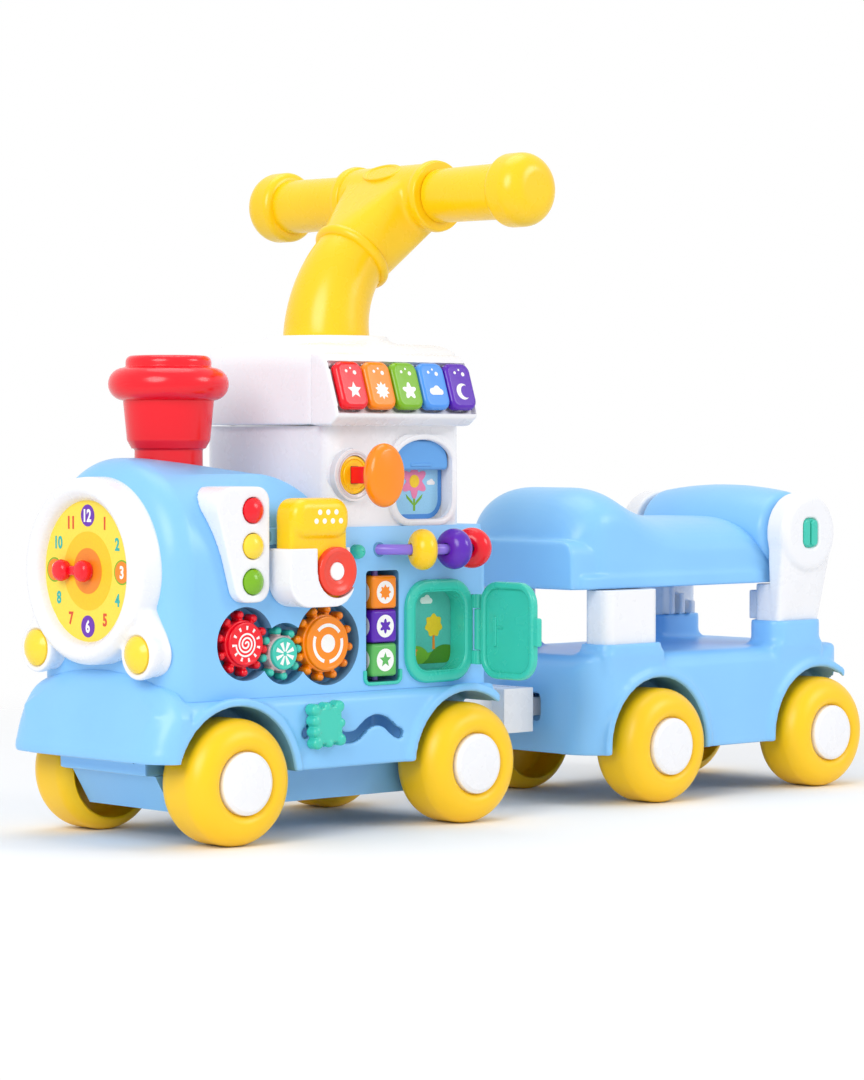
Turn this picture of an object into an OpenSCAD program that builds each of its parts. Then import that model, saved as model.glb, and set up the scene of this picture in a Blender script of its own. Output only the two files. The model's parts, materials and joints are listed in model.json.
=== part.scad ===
// Ride on train: a push-along locomotive with activity panels, and a wagon with a saddle seat.
// Millimetres. +X runs from the clock to the wagon, -Y is the side with the activities, +Z is up.
// The floor is z = 0, and the origin is under the middle of the whole train.
// Inside the modules, x is counted from the front axle of the locomotive.

/* [Wheels] */
// Diameter of every tyre
wheel_d = 86; // [80:1:90]
// Width of one tyre
tyre_w = 45; // [40:1:46]
// Centre plane to the outer face of a tyre
tyre_face = 95; // [94:1:100]
// Diameter of a hub cap
cap_d = 43; // [36:1:50]
// Height of a hub cap above the tyre face
cap_dome = 3; // [2:0.5:5]
// Diameter of the axles
axle_d = 8; // [6:0.5:9]
// Free room around a tyre in its arch
well_gap = 8; // [6:0.5:9]

/* [Layout] */
// Foremost point of the clock to the front axle
front_overhang = 70; // [68:1:80]
// Front axle to rear axle of the locomotive
loco_wheelbase = 212; // [208:1:220]
// Rear axle of the locomotive to front axle of the wagon
axle_gap = 201; // [196:1:215]
// Front axle to rear axle of the wagon
wagon_wheelbase = 182; // [176:1:195]

/* [Locomotive body] */
// Width of the upper body
body_w = 152; // [148:1:158]
// Axle height to the ledge between skirt and upper body
ledge_rise = 55; // [54:1:62]
// Ledge to the top of the boiler at the clock
boiler_h = 162; // [158:1:170]
// Ledge to the deck that carries the cab
deck_h = 114; // [112:1:118]
// Drop of the boiler's top line from the clock to its shoulder
boiler_fall = 11; // [6:1:14]
// Radius of the boiler's arched top
arch_r = 72; // [64:1:73]
// Radius of the front edges
nose_r = 20; // [14:1:24]
// Radius of the shoulder behind the chimney
shoulder_r = 40; // [36:1:44]
// Wall of the moulded shells
wall = 3; // [2:0.25:4]
// How far the skirt stands out past the upper body
skirt_flare = 7; // [6:0.5:10]
// How far the arch rims stand out past the skirt
rim_proud = 3; // [1:0.5:4]
// Width of an arch rim
rim_w = 6; // [3:0.5:6]
// Axle height to the lower edge of the skirt
skirt_drop = 4; // [2:0.5:8]
// How far the bumper stands out past the body's face
bumper_proud = 17; // [12:1:19]
// Rise of the bumper's arched top above the ledge
bumper_rise = 14; // [8:1:14]
// Width of the underframe
underframe_w = 92; // [84:1:94]
// Depth of the underframe below the skirt
underframe_h = 25; // [20:1:30]

/* [Cab and roof] */
// Length of the cab
cab_l = 126; // [122:1:130]
// Width of the cab
cab_w = 140; // [132:1:146]
// Height of the cab walls
cab_h = 70; // [66:1:76]
// Height of the roof
roof_h = 58; // [54:1:64]
// Roof overhang past the cab's end walls
roof_overhang = 6; // [2:1:8]
// Width of the roof
roof_w = 132; // [124:1:140]
// Height of the round collar under the handle
collar_h = 6; // [4:0.5:10]
// Diameter of that collar
collar_d = 88; // [76:1:96]
// Pitch of the piano keys
key_pitch = 25.5; // [24:0.5:26]
// Width of one piano key
key_w = 22; // [20:0.5:23]
// Height of one piano key
key_l = 33; // [28:0.5:34]
// Travel of a piano key
key_press = 3; // [2:0.5:4]

/* [Handle] */
// Diameter of the stem
stem_d = 62; // [54:1:68]
// Radius of the stem's bend
bend_r = 80; // [70:1:95]
// Angle that the stem leans back
lean = 45; // [40:1:50]
// Straight length of the stem up to the bar
stem_l = 63; // [56:1:70]
// Diameter of the sleeve that holds the grips
tee_d = 50; // [46:1:56]
// Length of that sleeve
tee_l = 92; // [80:1:100]
// Diameter of the grips
grip_d = 40; // [34:1:42]
// Width of the whole handlebar
bar_w = 292; // [292:1:310]
// Diameter of the ball ends
ball_d = 52; // [46:1:58]
// Thickness of the ball ends
ball_w = 30; // [24:1:34]

/* [Clock and chimney] */
// Diameter of the clock dial
dial_d = 96; // [88:1:100]
// Width of the clock's bezel ring
bezel_w = 15.5; // [12:0.5:17]
// How far the bezel stands out of the body
clock_proud = 21; // [18:0.5:24]
// Height of the clock's centre above the ledge
clock_rise = 86; // [84:1:90]
// Diameter of the headlamps
lamp_d = 25; // [20:1:27]
// Centre plane to a headlamp's centre
lamp_y = 56; // [54:1:58]
// Clock centre down to the headlamps
lamp_drop = 54; // [50:1:55]
// Distance between the two knobs of the clock hand
hand_l = 24; // [20:1:30]
// Diameter of the chimney's neck
neck_d = 47; // [42:1:50]
// Diameter of the chimney's cup at its rim
cup_d = 62; // [58:1:66]
// Height of the cup
cup_h = 32; // [28:1:38]
// Outer diameter of the ring on the cup
ring_d = 83; // [80:1:90]
// Thickness of that ring
ring_t = 23; // [18:1:26]
// Diameter of the chimney's top disc
top_d = 59; // [50:1:62]
// Travel of the chimney
chimney_press = 6; // [4:0.5:8]
// Turns of the chimney's spring
spring_turns = 6; // [4:1:8]

/* [Activities] */
// Module of the gears
gear_m = 3.9; // [3.7:0.05:4]
// Radius of the round gear teeth
tooth_r = 2.5; // [2.2:0.1:2.7]
// Depth of the gear recess
gear_depth = 12; // [9:0.5:15]
// Side of one tumbler block
block = 23; // [20:0.5:24]
// Diameter of the bead rod
rod_d = 7.5; // [6:0.5:9]
// Radius of the rod's bow
rod_bow = 54.8; // [52:0.5:56]
// Diameter of a bead
bead_d = 29; // [24:1:31]
// Thickness of a bead
bead_t = 18; // [14:1:20]
// Diameter of the traffic light buttons
light_d = 17; // [14:0.5:18]
// Travel of a traffic light button
light_press = 2.5; // [1.5:0.5:3]
// Width of the telephone cradle
cradle_w = 58; // [54:1:60]
// Width of the door opening
door_w = 52; // [48:1:54]
// Height of the door opening
door_h = 61; // [56:1:64]
// Diameter of the key's head
head_d = 44; // [38:1:46]
// Width of the picture window
window_w = 55; // [48:1:57]
// Height of the picture window
window_h = 58; // [52:1:60]
// Travel of the window blind
blind_travel = 32; // [26:1:34]
// Width of the slider's knob
slider_w = 30; // [24:1:32]
// Crest to crest of the slider's wavy slot
wave_l = 52; // [48:1:54]
// Rise of that wave from its middle line
wave_a = 5.5; // [4:0.5:6]

/* [Wagon] */
// Width of the chassis
chassis_w = 160; // [156:1:166]
// Axle height to the top of the chassis
chassis_rise = 69; // [66:1:76]
// Axle height to the lower edge of the chassis
chassis_drop = 5; // [2:1:8]
// Front axle to the front face of the chassis
chassis_front = 71; // [68:1:74]
// Rear axle to the rear face of the chassis
chassis_rear = 37; // [32:1:42]
// Radius of the chassis corners
chassis_r = 28; // [20:1:32]
// Height of the seat posts
post_h = 48.5; // [44:0.5:56]
// Length of a front post
front_post_l = 57; // [50:1:62]
// Length of a rear post
rear_post_l = 49; // [44:1:52]
// Width of every post
post_w = 27; // [22:1:28]
// Height of the seat's rim to its saddle
saddle_h = 52; // [48:1:58]
// Height of the seat's front hump above the saddle
hump_h = 24; // [18:1:28]
// Width of the seat
seat_w = 136; // [128:1:138]
// Diameter of the hinge drums
drum_d = 62; // [56:1:66]
// Width of a hinge drum
drum_w = 19.5; // [18:0.5:22]
// Diameter of the backrest roll at its middle
roll_d = 74; // [68:1:76]
// Travel of a release button
release_press = 4; // [3:0.5:5]
// Half width of the coupling tongue
tongue_half = 14; // [11:0.5:15]
// Diameter of the hitch pin
hitch_d = 8; // [6:0.5:10]

/* [Fits] */
// Gap beside pieces that slide or turn
slide_gap = 0.3; // [0.2:0.05:0.5]
// Radial clearance of shafts in their bores
run_gap = 0.08; // [0.05:0.01:0.1]
// Radial clearance of fixed shafts and plugs
seat_gap = 0.05; // [0.02:0.01:0.1]

/* [Hidden] */
$fn = 64;

// Colours
blue = "#8cc8f8";
yellow = "#f9c80e";
red = "#e8152b";
orange = "#f57c0f";
purple = "#5a1fa8";
lavender = "#8f74e0";
green = "#6fb52a";
teal = "#3cc7ac";
white = "#f4f4f6";
steel = "#b8bcc2";

// Lengthwise places
wagon_front_x = loco_wheelbase + axle_gap;
wagon_rear_x = wagon_front_x + wagon_wheelbase;
train_l = front_overhang + wagon_rear_x + wheel_d / 2;
face_x = clock_proud - front_overhang;
rear_x = loco_wheelbase + 28;
cab_front = 95;
cab_rear = cab_front + cab_l;
shoulder_x = cab_front - shoulder_r - 5;
skirt_rear = rear_x + 3;
bumper_x = face_x - bumper_proud;

// Heights
axle_z = wheel_d / 2;
ledge_z = axle_z + ledge_rise;
skirt_z = axle_z + skirt_drop;
boiler_z = ledge_z + boiler_h;
deck_z = ledge_z + deck_h;
cab_z = deck_z + cab_h;
roof_z = cab_z + roof_h;
collar_z = roof_z + collar_h;
clock_z = ledge_z + clock_rise;
chassis_z = axle_z + chassis_rise;
post_z = chassis_z + post_h;
seat_z = post_z + slide_gap;
saddle_z = seat_z + saddle_h;

// Widths
side_y = body_w / 2;
skirt_y = side_y + skirt_flare;
cab_y = cab_w / 2;
well_r = wheel_d / 2 + well_gap;
well_y = tyre_face - tyre_w - 2;
spine_y = well_y - 4;
rim_y = skirt_y + rim_proud;

// Extrudes an outline drawn in x and z from y0 to y1
module along_y(y0, y1) {
  translate([0, y1, 0]) rotate([90, 0, 0]) linear_extrude(y1 - y0) children();
}

// Extrudes an outline drawn in y and z from x0 to x1
module along_x(x0, x1) {
  translate([x0, 0, 0]) rotate([90, 0, 90]) linear_extrude(x1 - x0) children();
}

// Puts a child, drawn with x to the right and y up, on the activity side with z outwards
module near_side(x, z, y = side_y) {
  translate([x, -y, z]) rotate([90, 0, 0]) children();
}

// Puts a child on the body's front face, with z forwards and x up
module on_face(y, z) {
  translate([face_x, y, z]) rotate([0, -90, 0]) children();
}

// Puts a child on the axle at x, with z outwards on the side given by s
module wheel_side(x, s) {
  translate([x, 0, axle_z]) rotate([s * 90, 0, 0]) children();
}

module mirror_y() {
  children();
  mirror([0, 1, 0]) children();
}

// Moves pieces from the front axle's count to the train's own origin
module train() {
  translate([front_overhang - train_l / 2, 0, 0]) children();
}

module round_rect(x0, x1, y0, y1, r) {
  translate([x0 + r, y0]) square([x1 - x0 - 2 * r, y1 - y0]);
  translate([x0, y0 + r]) square([x1 - x0, y1 - y0 - 2 * r]);
  for (x = [x0 + r, x1 - r], y = [y0 + r, y1 - r]) {
    translate([x, y]) circle(r);
  }
}

// A rounded rectangle of size w by h about its centre
module round_plate(w, h, r) {
  round_rect(-w / 2, w / 2, -h / 2, h / 2, r);
}

// A low dome of base radius a and height h, standing on z = 0
module dome(a, h) {
  ball_r = (a * a + h * h) / (2 * h);
  intersection() {
    translate([0, 0, h - ball_r]) sphere(ball_r);
    cylinder(r = a + 1, h = h + 1);
  }
}

// A disc of diameter d and thickness t with a half round rim, about its centre
module soft_disc(d, t) {
  rotate_extrude() intersection() {
    union() {
      translate([d / 2 - t / 2, 0]) circle(t / 2);
      translate([0, -t / 2]) square([d / 2 - t / 2, t]);
    }
    translate([0, -t]) square([d, 2 * t]);
  }
}

// Locomotive body

deck_corner_r = 8;
blend_l = 40;

// Side view of the boiler's sloped top, its shoulder and the deck, past the body at both ends
module boiler_outline(t) {
  low = ledge_z - 2;
  top = boiler_z - t;
  slope_x = face_x + nose_r + 5;
  slope = boiler_fall / (shoulder_x - slope_x);
  polygon([
    [face_x - 1, low],
    [face_x - 1, top + slope * (slope_x - face_x + 1)],
    [shoulder_x, top - boiler_fall],
    [shoulder_x, low]
  ]);
  translate([shoulder_x, boiler_z - boiler_fall - shoulder_r]) circle(shoulder_r - t);
  translate([face_x - 1, low]) square([rear_x - face_x + 2, deck_z - t - low]);
}

module body_plan(t) {
  half = side_y - t;
  round_rect(face_x + t, rear_x - blend_l, -half, half, nose_r - t);
  round_rect(face_x + blend_l, rear_x - t, -half, half, deck_corner_r - t);
}

// Half section of the body's arched top, of radius r and length l, with its rounded ends
module arch_profile(r, l, front, rear) {
  square([r - front, l / 2]);
  translate([0, l / 2]) square([r - rear, l / 2]);
  translate([0, front]) square([r, l - front - rear]);
  translate([r - front, front]) circle(front);
  translate([r - rear, l - rear]) circle(rear);
}

// Straight side walls with an arched top, both rounded alike at the front
module arched_body(t) {
  low = t > 0 ? ledge_z - 1 : ledge_z;
  r = arch_r - t;
  x0 = face_x + t;
  l = rear_x - face_x - 2 * t;
  flat_y = side_y - arch_r;
  axis_z = boiler_z - arch_r;
  translate([0, 0, low]) linear_extrude(axis_z - low) body_plan(t);
  for (s = [-1, 1]) {
    translate([x0, s * flat_y, axis_z]) rotate([0, 90, 0]) rotate([0, 0, s > 0 ? 90 : 180])
      rotate_extrude(angle = 90) arch_profile(r, l, nose_r - t, deck_corner_r - t);
  }
  along_y(-flat_y, flat_y) translate([x0, axis_z]) mirror([1, -1])
    arch_profile(r, l, nose_r - t, deck_corner_r - t);
}

// The upper body's outer form, moved inwards by t
module shell_form(t) {
  intersection() {
    along_y(-side_y - 1, side_y + 1) boiler_outline(t);
    arched_body(t);
  }
}

// Gear train
red_teeth = 10;
teal_teeth = 8;
orange_teeth = 12;
red_gear_x = 14;
red_gear_z = ledge_z + 37;
red_to_teal = -13;
teal_to_orange = 8;
tooth_out = 0.4;
red_teal_d = gear_m * (red_teeth + teal_teeth) / 2;
teal_orange_d = gear_m * (teal_teeth + orange_teeth) / 2;
teal_gear_x = red_gear_x + red_teal_d * cos(red_to_teal);
teal_gear_z = red_gear_z + red_teal_d * sin(red_to_teal);
orange_gear_x = teal_gear_x + teal_orange_d * cos(teal_to_orange);
orange_gear_z = teal_gear_z + teal_orange_d * sin(teal_to_orange);
teal_turn = red_to_teal + 180 + 180 / teal_teeth;
teal_phase = (teal_to_orange - teal_turn) * teal_teeth / 360;
orange_turn = teal_to_orange + 180 - (0.5 - teal_phase) * 360 / orange_teeth;
gear_places = [
  [red_gear_x, red_gear_z, red_teeth],
  [teal_gear_x, teal_gear_z, teal_teeth],
  [orange_gear_x, orange_gear_z, orange_teeth]
];
gear_pin_r = 3;
gear_t = 10;
gear_room = 2.5;
tooth_neck = 3.4;

function tip_r(teeth) = gear_m * teeth / 2 + tooth_out + tooth_r;

// Tumbler blocks
block_x = 137.5;
block_low = ledge_z + 6;
block_gap = 0.6;
block_r = 4;
block_proud = 3;
block_axle_r = 2.5;
block_reach = (block / 2 - block_r) * sqrt(2) + block_r;
block_axis = block / 2 - block_proud;
slot_half = block_reach + 0.7;
slot_h = 3 * block + 4 * block_gap + 6;
slot_depth = block_axis + block_reach + 0.8;

// Door in its frame
door_x = 190;
door_z = ledge_z + 39.5;
door_r = 14;
door_depth = 13;
frame_w = 6;
frame_t = 4;
knuckle_r = 2.8;
pin_r = 1.5;
hinge_x = door_x + door_w / 2 + frame_w + 1;
hinge_out = frame_t + slide_gap + 2.7;

// Bead rod
rod_x = 180;
rod_z = ledge_z + 98;
rod_axis_y = side_y - 31;
rod_half_turn = acos((side_y - rod_axis_y - 4) / rod_bow);

// Chimney
chimney_x = 8.6;
guide_floor = boiler_z - 34;
guide_floor_t = 3;
neck_low = guide_floor + guide_floor_t + chimney_press + 1;
neck_top = boiler_z + 7;
neck_wall = 4.5;

// Bowed rod of radius r; a bore for it runs on by a few degrees into the hollow shell
module rod_bow_solid(r, run_on = 0) {
  half_turn = rod_half_turn + run_on;
  rotate([0, 0, -90 - half_turn]) rotate_extrude(angle = 2 * half_turn) {
    translate([rod_bow, 0]) circle(r);
  }
}

module at_rod() {
  translate([rod_x, -rod_axis_y, rod_z]) children();
}

speaker_x = 150;
speaker_z = ledge_z + 52;
speaker_d = 56;
grille_hole_d = 5;

module grille_holes() {
  along_y(side_y - wall - 1, side_y + 1) translate([speaker_x, speaker_z]) {
    circle(d = grille_hole_d);
    for (ring = [1, 2], i = [0 : 6 * ring - 1]) {
      rotate(i * 60 / ring) translate([ring * 10, 0]) circle(d = grille_hole_d);
    }
  }
}

module loco_shell() {
  color(blue) {
    difference() {
      union() {
        difference() {
          shell_form(0);
          shell_form(wall);
        }
        intersection() {
          shell_form(0);
          union() {
            for (g = gear_places) {
              near_side(g[0], g[1]) translate([0, 0, -gear_depth - wall])
                cylinder(r = tip_r(g[2]) + gear_room + wall, h = gear_depth + wall);
            }
            near_side(block_x, block_low + slot_h / 2) translate([0, 0, -slot_depth - wall])
              linear_extrude(slot_depth + wall) round_plate(2 * slot_half + 2 * wall, slot_h + 2 * wall, 5);
            near_side(door_x, door_z) translate([0, 0, -door_depth - wall])
              linear_extrude(door_depth + wall)
                round_plate(door_w + 2 * wall, door_h + 2 * wall, door_r + wall);
            translate([chimney_x, 0, guide_floor]) cylinder(d = neck_d + 2 * wall, h = boiler_h);
          }
        }
      }
      for (g = gear_places) {
        near_side(g[0], g[1]) translate([0, 0, -gear_depth])
          cylinder(r = tip_r(g[2]) + gear_room, h = gear_depth + 1);
      }
      near_side(block_x, block_low + slot_h / 2) translate([0, 0, -slot_depth])
        linear_extrude(slot_depth + 1) round_plate(2 * slot_half, slot_h, 3);
      near_side(door_x, door_z) translate([0, 0, -door_depth])
        linear_extrude(door_depth + 1) round_plate(door_w, door_h, door_r);
      at_rod() rod_bow_solid(rod_d / 2 + seat_gap, 4);
      translate([chimney_x, 0, guide_floor + guide_floor_t])
        cylinder(d = neck_d + 2 * slide_gap, h = boiler_h);
      grille_holes();
    }
    for (g = gear_places) {
      near_side(g[0], g[1]) translate([0, 0, -gear_depth - 1]) cylinder(r = gear_pin_r, h = gear_depth - 3);
    }
  }
}

// Skirt
ledge_edge_r = 7;
bumper_corner_r = 25;
bumper_low = axle_z + 15;
bumper_lip = 8;
arch_wall = 6;
slot_w = 7.2;
wave_x = 75;
wave_z = axle_z + 29.5;
wave_r = (wave_l * wave_l / 16 + wave_a * wave_a) / (2 * wave_a);
wave_half = asin(wave_l / 4 / wave_r);
wave_axis_z = wave_z + wave_a - wave_r;

module skirt_plan() {
  round_rect(bumper_x, rear_x - blend_l, -skirt_y, skirt_y, bumper_corner_r);
  round_rect(0, skirt_rear, -skirt_y, skirt_y, deck_corner_r);
}

module skirt_section() {
  flat_y = skirt_y - ledge_edge_r;
  translate([-skirt_y, skirt_z]) square([2 * skirt_y, ledge_rise - skirt_drop - ledge_edge_r]);
  translate([-flat_y, skirt_z]) square([2 * flat_y, ledge_rise - skirt_drop]);
  for (s = [-1, 1]) {
    translate([s * flat_y, ledge_z - ledge_edge_r]) circle(ledge_edge_r);
  }
}

// Side view of the bumper: a lip below and a slope that leans back to the clock
module bumper_outline() {
  rise = bumper_rise + ledge_z - bumper_low - bumper_lip;
  slope_r = (rise * rise + bumper_proud * bumper_proud) / (2 * bumper_proud);
  base_z = bumper_low + bumper_lip;
  intersection() {
    union() {
      translate([bumper_x + bumper_lip, base_z]) circle(bumper_lip);
      translate([bumper_x + bumper_lip, bumper_low]) square([bumper_proud, bumper_lip]);
    }
    translate([bumper_x - 1, bumper_low]) square([bumper_proud + 1, bumper_lip]);
  }
  intersection() {
    translate([bumper_x + slope_r, base_z]) circle(slope_r, $fn = 128);
    translate([bumper_x - 1, base_z]) square([bumper_proud + 1, rise + 5]);
  }
}

// Front view of the bumper: upright sides and an arched top
module bumper_section() {
  chord = side_y - 16;
  top_r = (chord * chord + bumper_rise * bumper_rise) / (2 * bumper_rise);
  translate([-skirt_y, bumper_low]) square([2 * skirt_y, ledge_z - bumper_low - ledge_edge_r]);
  intersection() {
    translate([0, ledge_z + bumper_rise - top_r]) circle(top_r, $fn = 128);
    translate([-skirt_y, bumper_low]) square([2 * skirt_y, ledge_rise + bumper_rise]);
  }
}

module wheel_wells(x) {
  mirror_y() {
    along_y(well_y, rim_y + 1) translate([x, axle_z]) circle(well_r);
    along_y(well_y, rim_y + 1) translate([x - well_r, -1]) square([2 * well_r, axle_z + 1]);
  }
}

module arch_rims(x, low_z, half_y, edge_y, x_limit) {
  intersection() {
    mirror_y() along_y(half_y - 2, edge_y) translate([x, axle_z]) circle(well_r + rim_w);
    translate([x - 200, -200, low_z]) cube([x_limit - x + 200, 400, 200]);
  }
}

// One bow of the wavy slot; up is 1 for a crest and -1 for a trough
module wave_bow(x, up, from, to) {
  translate([x, wave_z + up * (wave_a - wave_r)]) intersection() {
    difference() {
      circle(wave_r + slot_w / 2);
      circle(wave_r - slot_w / 2);
    }
    polygon([
      [0, 0],
      [2 * wave_r * sin(from), 2 * up * wave_r * cos(from)],
      [2 * wave_r * sin(to), 2 * up * wave_r * cos(to)]
    ]);
  }
}

module wave_slot() {
  eye_d = slot_w + 0.4;
  stop_a = wave_half / 3;
  stop_x = wave_x + 1.5 * wave_l - wave_r * sin(stop_a);
  wave_bow(wave_x, 1, -wave_half, wave_half);
  wave_bow(wave_x + wave_l / 2, -1, -wave_half, wave_half);
  wave_bow(wave_x + wave_l, 1, -wave_half, wave_half);
  wave_bow(wave_x + 1.5 * wave_l, -1, -wave_half, -stop_a);
  for (i = [-1, 1, 3, 5]) {
    translate([wave_x + i * wave_l / 4, wave_z]) circle(d = eye_d);
  }
  translate([stop_x, wave_z - wave_a + wave_r * (1 - cos(stop_a))]) circle(d = eye_d);
}

module loco_skirt() {
  pocket_x0 = well_r + 5;
  pocket_x1 = loco_wheelbase - well_r - 5;
  color(blue) difference() {
    union() {
      intersection() {
        translate([0, 0, skirt_z]) linear_extrude(ledge_rise) skirt_plan();
        along_x(face_x, skirt_rear) skirt_section();
      }
      intersection() {
        translate([0, 0, skirt_z]) linear_extrude(2 * ledge_rise) skirt_plan();
        along_y(-skirt_y, skirt_y) bumper_outline();
        along_x(bumper_x - 1, face_x) bumper_section();
      }
      arch_rims(0, skirt_z, skirt_y, rim_y, skirt_rear);
      arch_rims(loco_wheelbase, skirt_z, skirt_y, rim_y, skirt_rear);
    }
    wheel_wells(0);
    wheel_wells(loco_wheelbase);
    translate([face_x + 5, -spine_y, 0]) cube([skirt_rear - face_x - 12, 2 * spine_y, 2 * ledge_z]);
    mirror_y() translate([pocket_x0, spine_y + wall, 0])
      cube([pocket_x1 - pocket_x0, skirt_y - arch_wall - spine_y - wall, ledge_z - arch_wall]);
    along_y(-skirt_y - 1, -skirt_y + arch_wall + 1) wave_slot();
  }
}

// Underframe with the battery bay
underframe_z = skirt_z - underframe_h;
underframe_wall = 4;
boss_h = 11;
boss_half = 14;
bay_x0 = 66;
bay_x1 = 152;
bay_half = 31;
tray_x0 = 22;
tray_x1 = 188;

module loco_underframe() {
  half = underframe_w / 2;
  color(blue) difference() {
    union() {
      along_y(-half, half) polygon([
        [face_x + 9, skirt_z],
        [face_x + 24, underframe_z],
        [skirt_rear - 12, underframe_z],
        [skirt_rear - 6, skirt_z]
      ]);
      for (x = [0, loco_wheelbase]) {
        along_y(0.5 - spine_y, spine_y - 0.5) translate([x - boss_half, skirt_z - 1])
          square([2 * boss_half, boss_h]);
      }
    }
    for (x = [0, loco_wheelbase]) {
      along_y(-half - 1, half + 1) translate([x, axle_z]) circle(axle_d / 2 + run_gap);
    }
    translate([tray_x0, underframe_wall - half, underframe_z + underframe_wall])
      cube([tray_x1 - tray_x0, underframe_w - 2 * underframe_wall, underframe_h]);
    translate([bay_x0, -bay_half, underframe_z - 1])
      cube([bay_x1 - bay_x0, 2 * bay_half, underframe_wall + 2]);
  }
}

module battery_cover() {
  color(blue) translate([bay_x0 + slide_gap, slide_gap - bay_half, underframe_z])
    cube([bay_x1 - bay_x0 - 2 * slide_gap, 2 * (bay_half - slide_gap), underframe_wall - 0.2]);
}

cell_d = 14.5;
cell_l = 50.5;
cell_pitch = 17;
box_l = 72;
box_w = 58;
box_h = 18;
box_z = underframe_z + underframe_wall;

module battery_box() {
  mid_x = (bay_x0 + bay_x1) / 2;
  color("#2c2e33") difference() {
    translate([mid_x - box_l / 2, -box_w / 2, box_z]) cube([box_l, box_w, box_h]);
    for (i = [-1, 0, 1]) {
      translate([mid_x - cell_l / 2 - 1, i * cell_pitch, box_z + cell_d / 2]) rotate([0, 90, 0])
        cylinder(d = cell_d + 0.4, h = cell_l + 2);
    }
    translate([mid_x - cell_l / 2 - 1, -box_w / 2 + 2, box_z - 1])
      cube([cell_l + 2, box_w - 4, cell_d / 2 + 1]);
  }
  color(steel) for (i = [-1, 0, 1]) {
    translate([mid_x - cell_l / 2, i * cell_pitch, box_z + cell_d / 2]) rotate([0, 90, 0])
      cylinder(d = cell_d, h = cell_l);
  }
}

board_t = 1.6;

module sound_module() {
  mid_x = (bay_x0 + bay_x1) / 2;
  color("#2f7d4a") translate([mid_x - 30, -24, box_z + box_h]) cube([60, 48, board_t]);
  color("#34363b") translate([speaker_x, side_y - wall, speaker_z]) rotate([90, 0, 0]) {
    cylinder(d = speaker_d, h = 4);
    cylinder(d = 0.6 * speaker_d, h = 16);
  }
}

// Cab
cab_corner_r = 12;
lock_x = cab_front + 18;
lock_z = deck_z + 36;
lock_bore_d = 27.4;
lock_depth = 12;
lock_ring_w = 4.3;
lock_ring_h = 5;
window_x = cab_rear - 40;
window_z = deck_z + 33;
window_r = 14;
window_depth = 11;
window_rim = 4;
window_skin = 1.2;
blind_room_r = 3;
card_t = 1.2;

module cab_form(t) {
  translate([0, 0, deck_z]) linear_extrude(cab_h - t)
    round_rect(cab_front + t, cab_rear - t, t - cab_y, cab_y - t, cab_corner_r - t);
}

module cab() {
  color(white) difference() {
    union() {
      difference() {
        cab_form(0);
        translate([0, 0, -1]) cab_form(wall);
      }
      near_side(lock_x, lock_z, cab_y) {
        translate([0, 0, -lock_depth - wall]) cylinder(d = lock_bore_d + 2 * wall, h = lock_depth + wall);
        cylinder(d = lock_bore_d + 2 * lock_ring_w, h = lock_ring_h);
      }
      near_side(window_x, window_z, cab_y) {
        translate([0, 0, -window_depth - wall]) linear_extrude(window_depth + wall)
          round_plate(window_w + 4, window_h + 4, blind_room_r + 2);
        linear_extrude(2) round_plate(window_w + 2 * window_rim, window_h + window_rim, window_r + 3);
      }
    }
    near_side(lock_x, lock_z, cab_y) translate([0, 0, -lock_depth])
      cylinder(d = lock_bore_d, h = lock_depth + lock_ring_h + 1);
    near_side(window_x, window_z, cab_y) {
      translate([0, 0, -window_depth]) linear_extrude(window_depth - window_skin)
        round_plate(window_w, window_h, blind_room_r);
      translate([0, 0, -window_skin - 1]) linear_extrude(window_skin + 4)
        round_plate(window_w - 1, window_h - 1, window_r);
    }
  }
}

// Roof with the key console and the collar
roof_edge_r = 18;
roof_rib_in = 22;
roof_rib_h = 12;
console_x0 = cab_front - 10;
console_x1 = cab_rear - 3;
console_low_y = 88.5;
console_top_y = 77;
console_low_z = cab_z + 10;
console_top_z = cab_z + 44;
console_tilt = atan((console_low_y - console_top_y) / (console_top_z - console_low_z));
key_count = 5;
key_depth = 9;
key_sunk = 5.4;
key_proud = 5;
first_key_x = (console_x0 + console_x1 - (key_count - 1) * key_pitch) / 2;
stem_x = cab_front + 57;

module roof_form(t) {
  x0 = cab_front - roof_overhang + t;
  x1 = cab_rear + roof_overhang - t;
  half = roof_w / 2 - t;
  intersection() {
    translate([0, 0, t > 0 ? cab_z - 1 : cab_z]) linear_extrude(roof_h - t + (t > 0 ? 1 : 0))
      round_rect(x0, x1, -half, half, roof_edge_r - t);
    along_y(-roof_w, roof_w) round_rect(x0, x1, cab_z - roof_h, roof_z - t, roof_edge_r - t);
    along_x(x0 - 1, x1 + 1) round_rect(-half, half, cab_z - roof_h, roof_z - t, roof_edge_r - t);
  }
}

// Puts a child on key i of the console, with z out of the sloped face and y up the slope
module on_console(i) {
  translate([
    first_key_x + i * key_pitch,
    -(console_low_y + console_top_y) / 2,
    (console_low_z + console_top_z) / 2
  ]) rotate([90 - console_tilt, 0, 0]) children();
}

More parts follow.
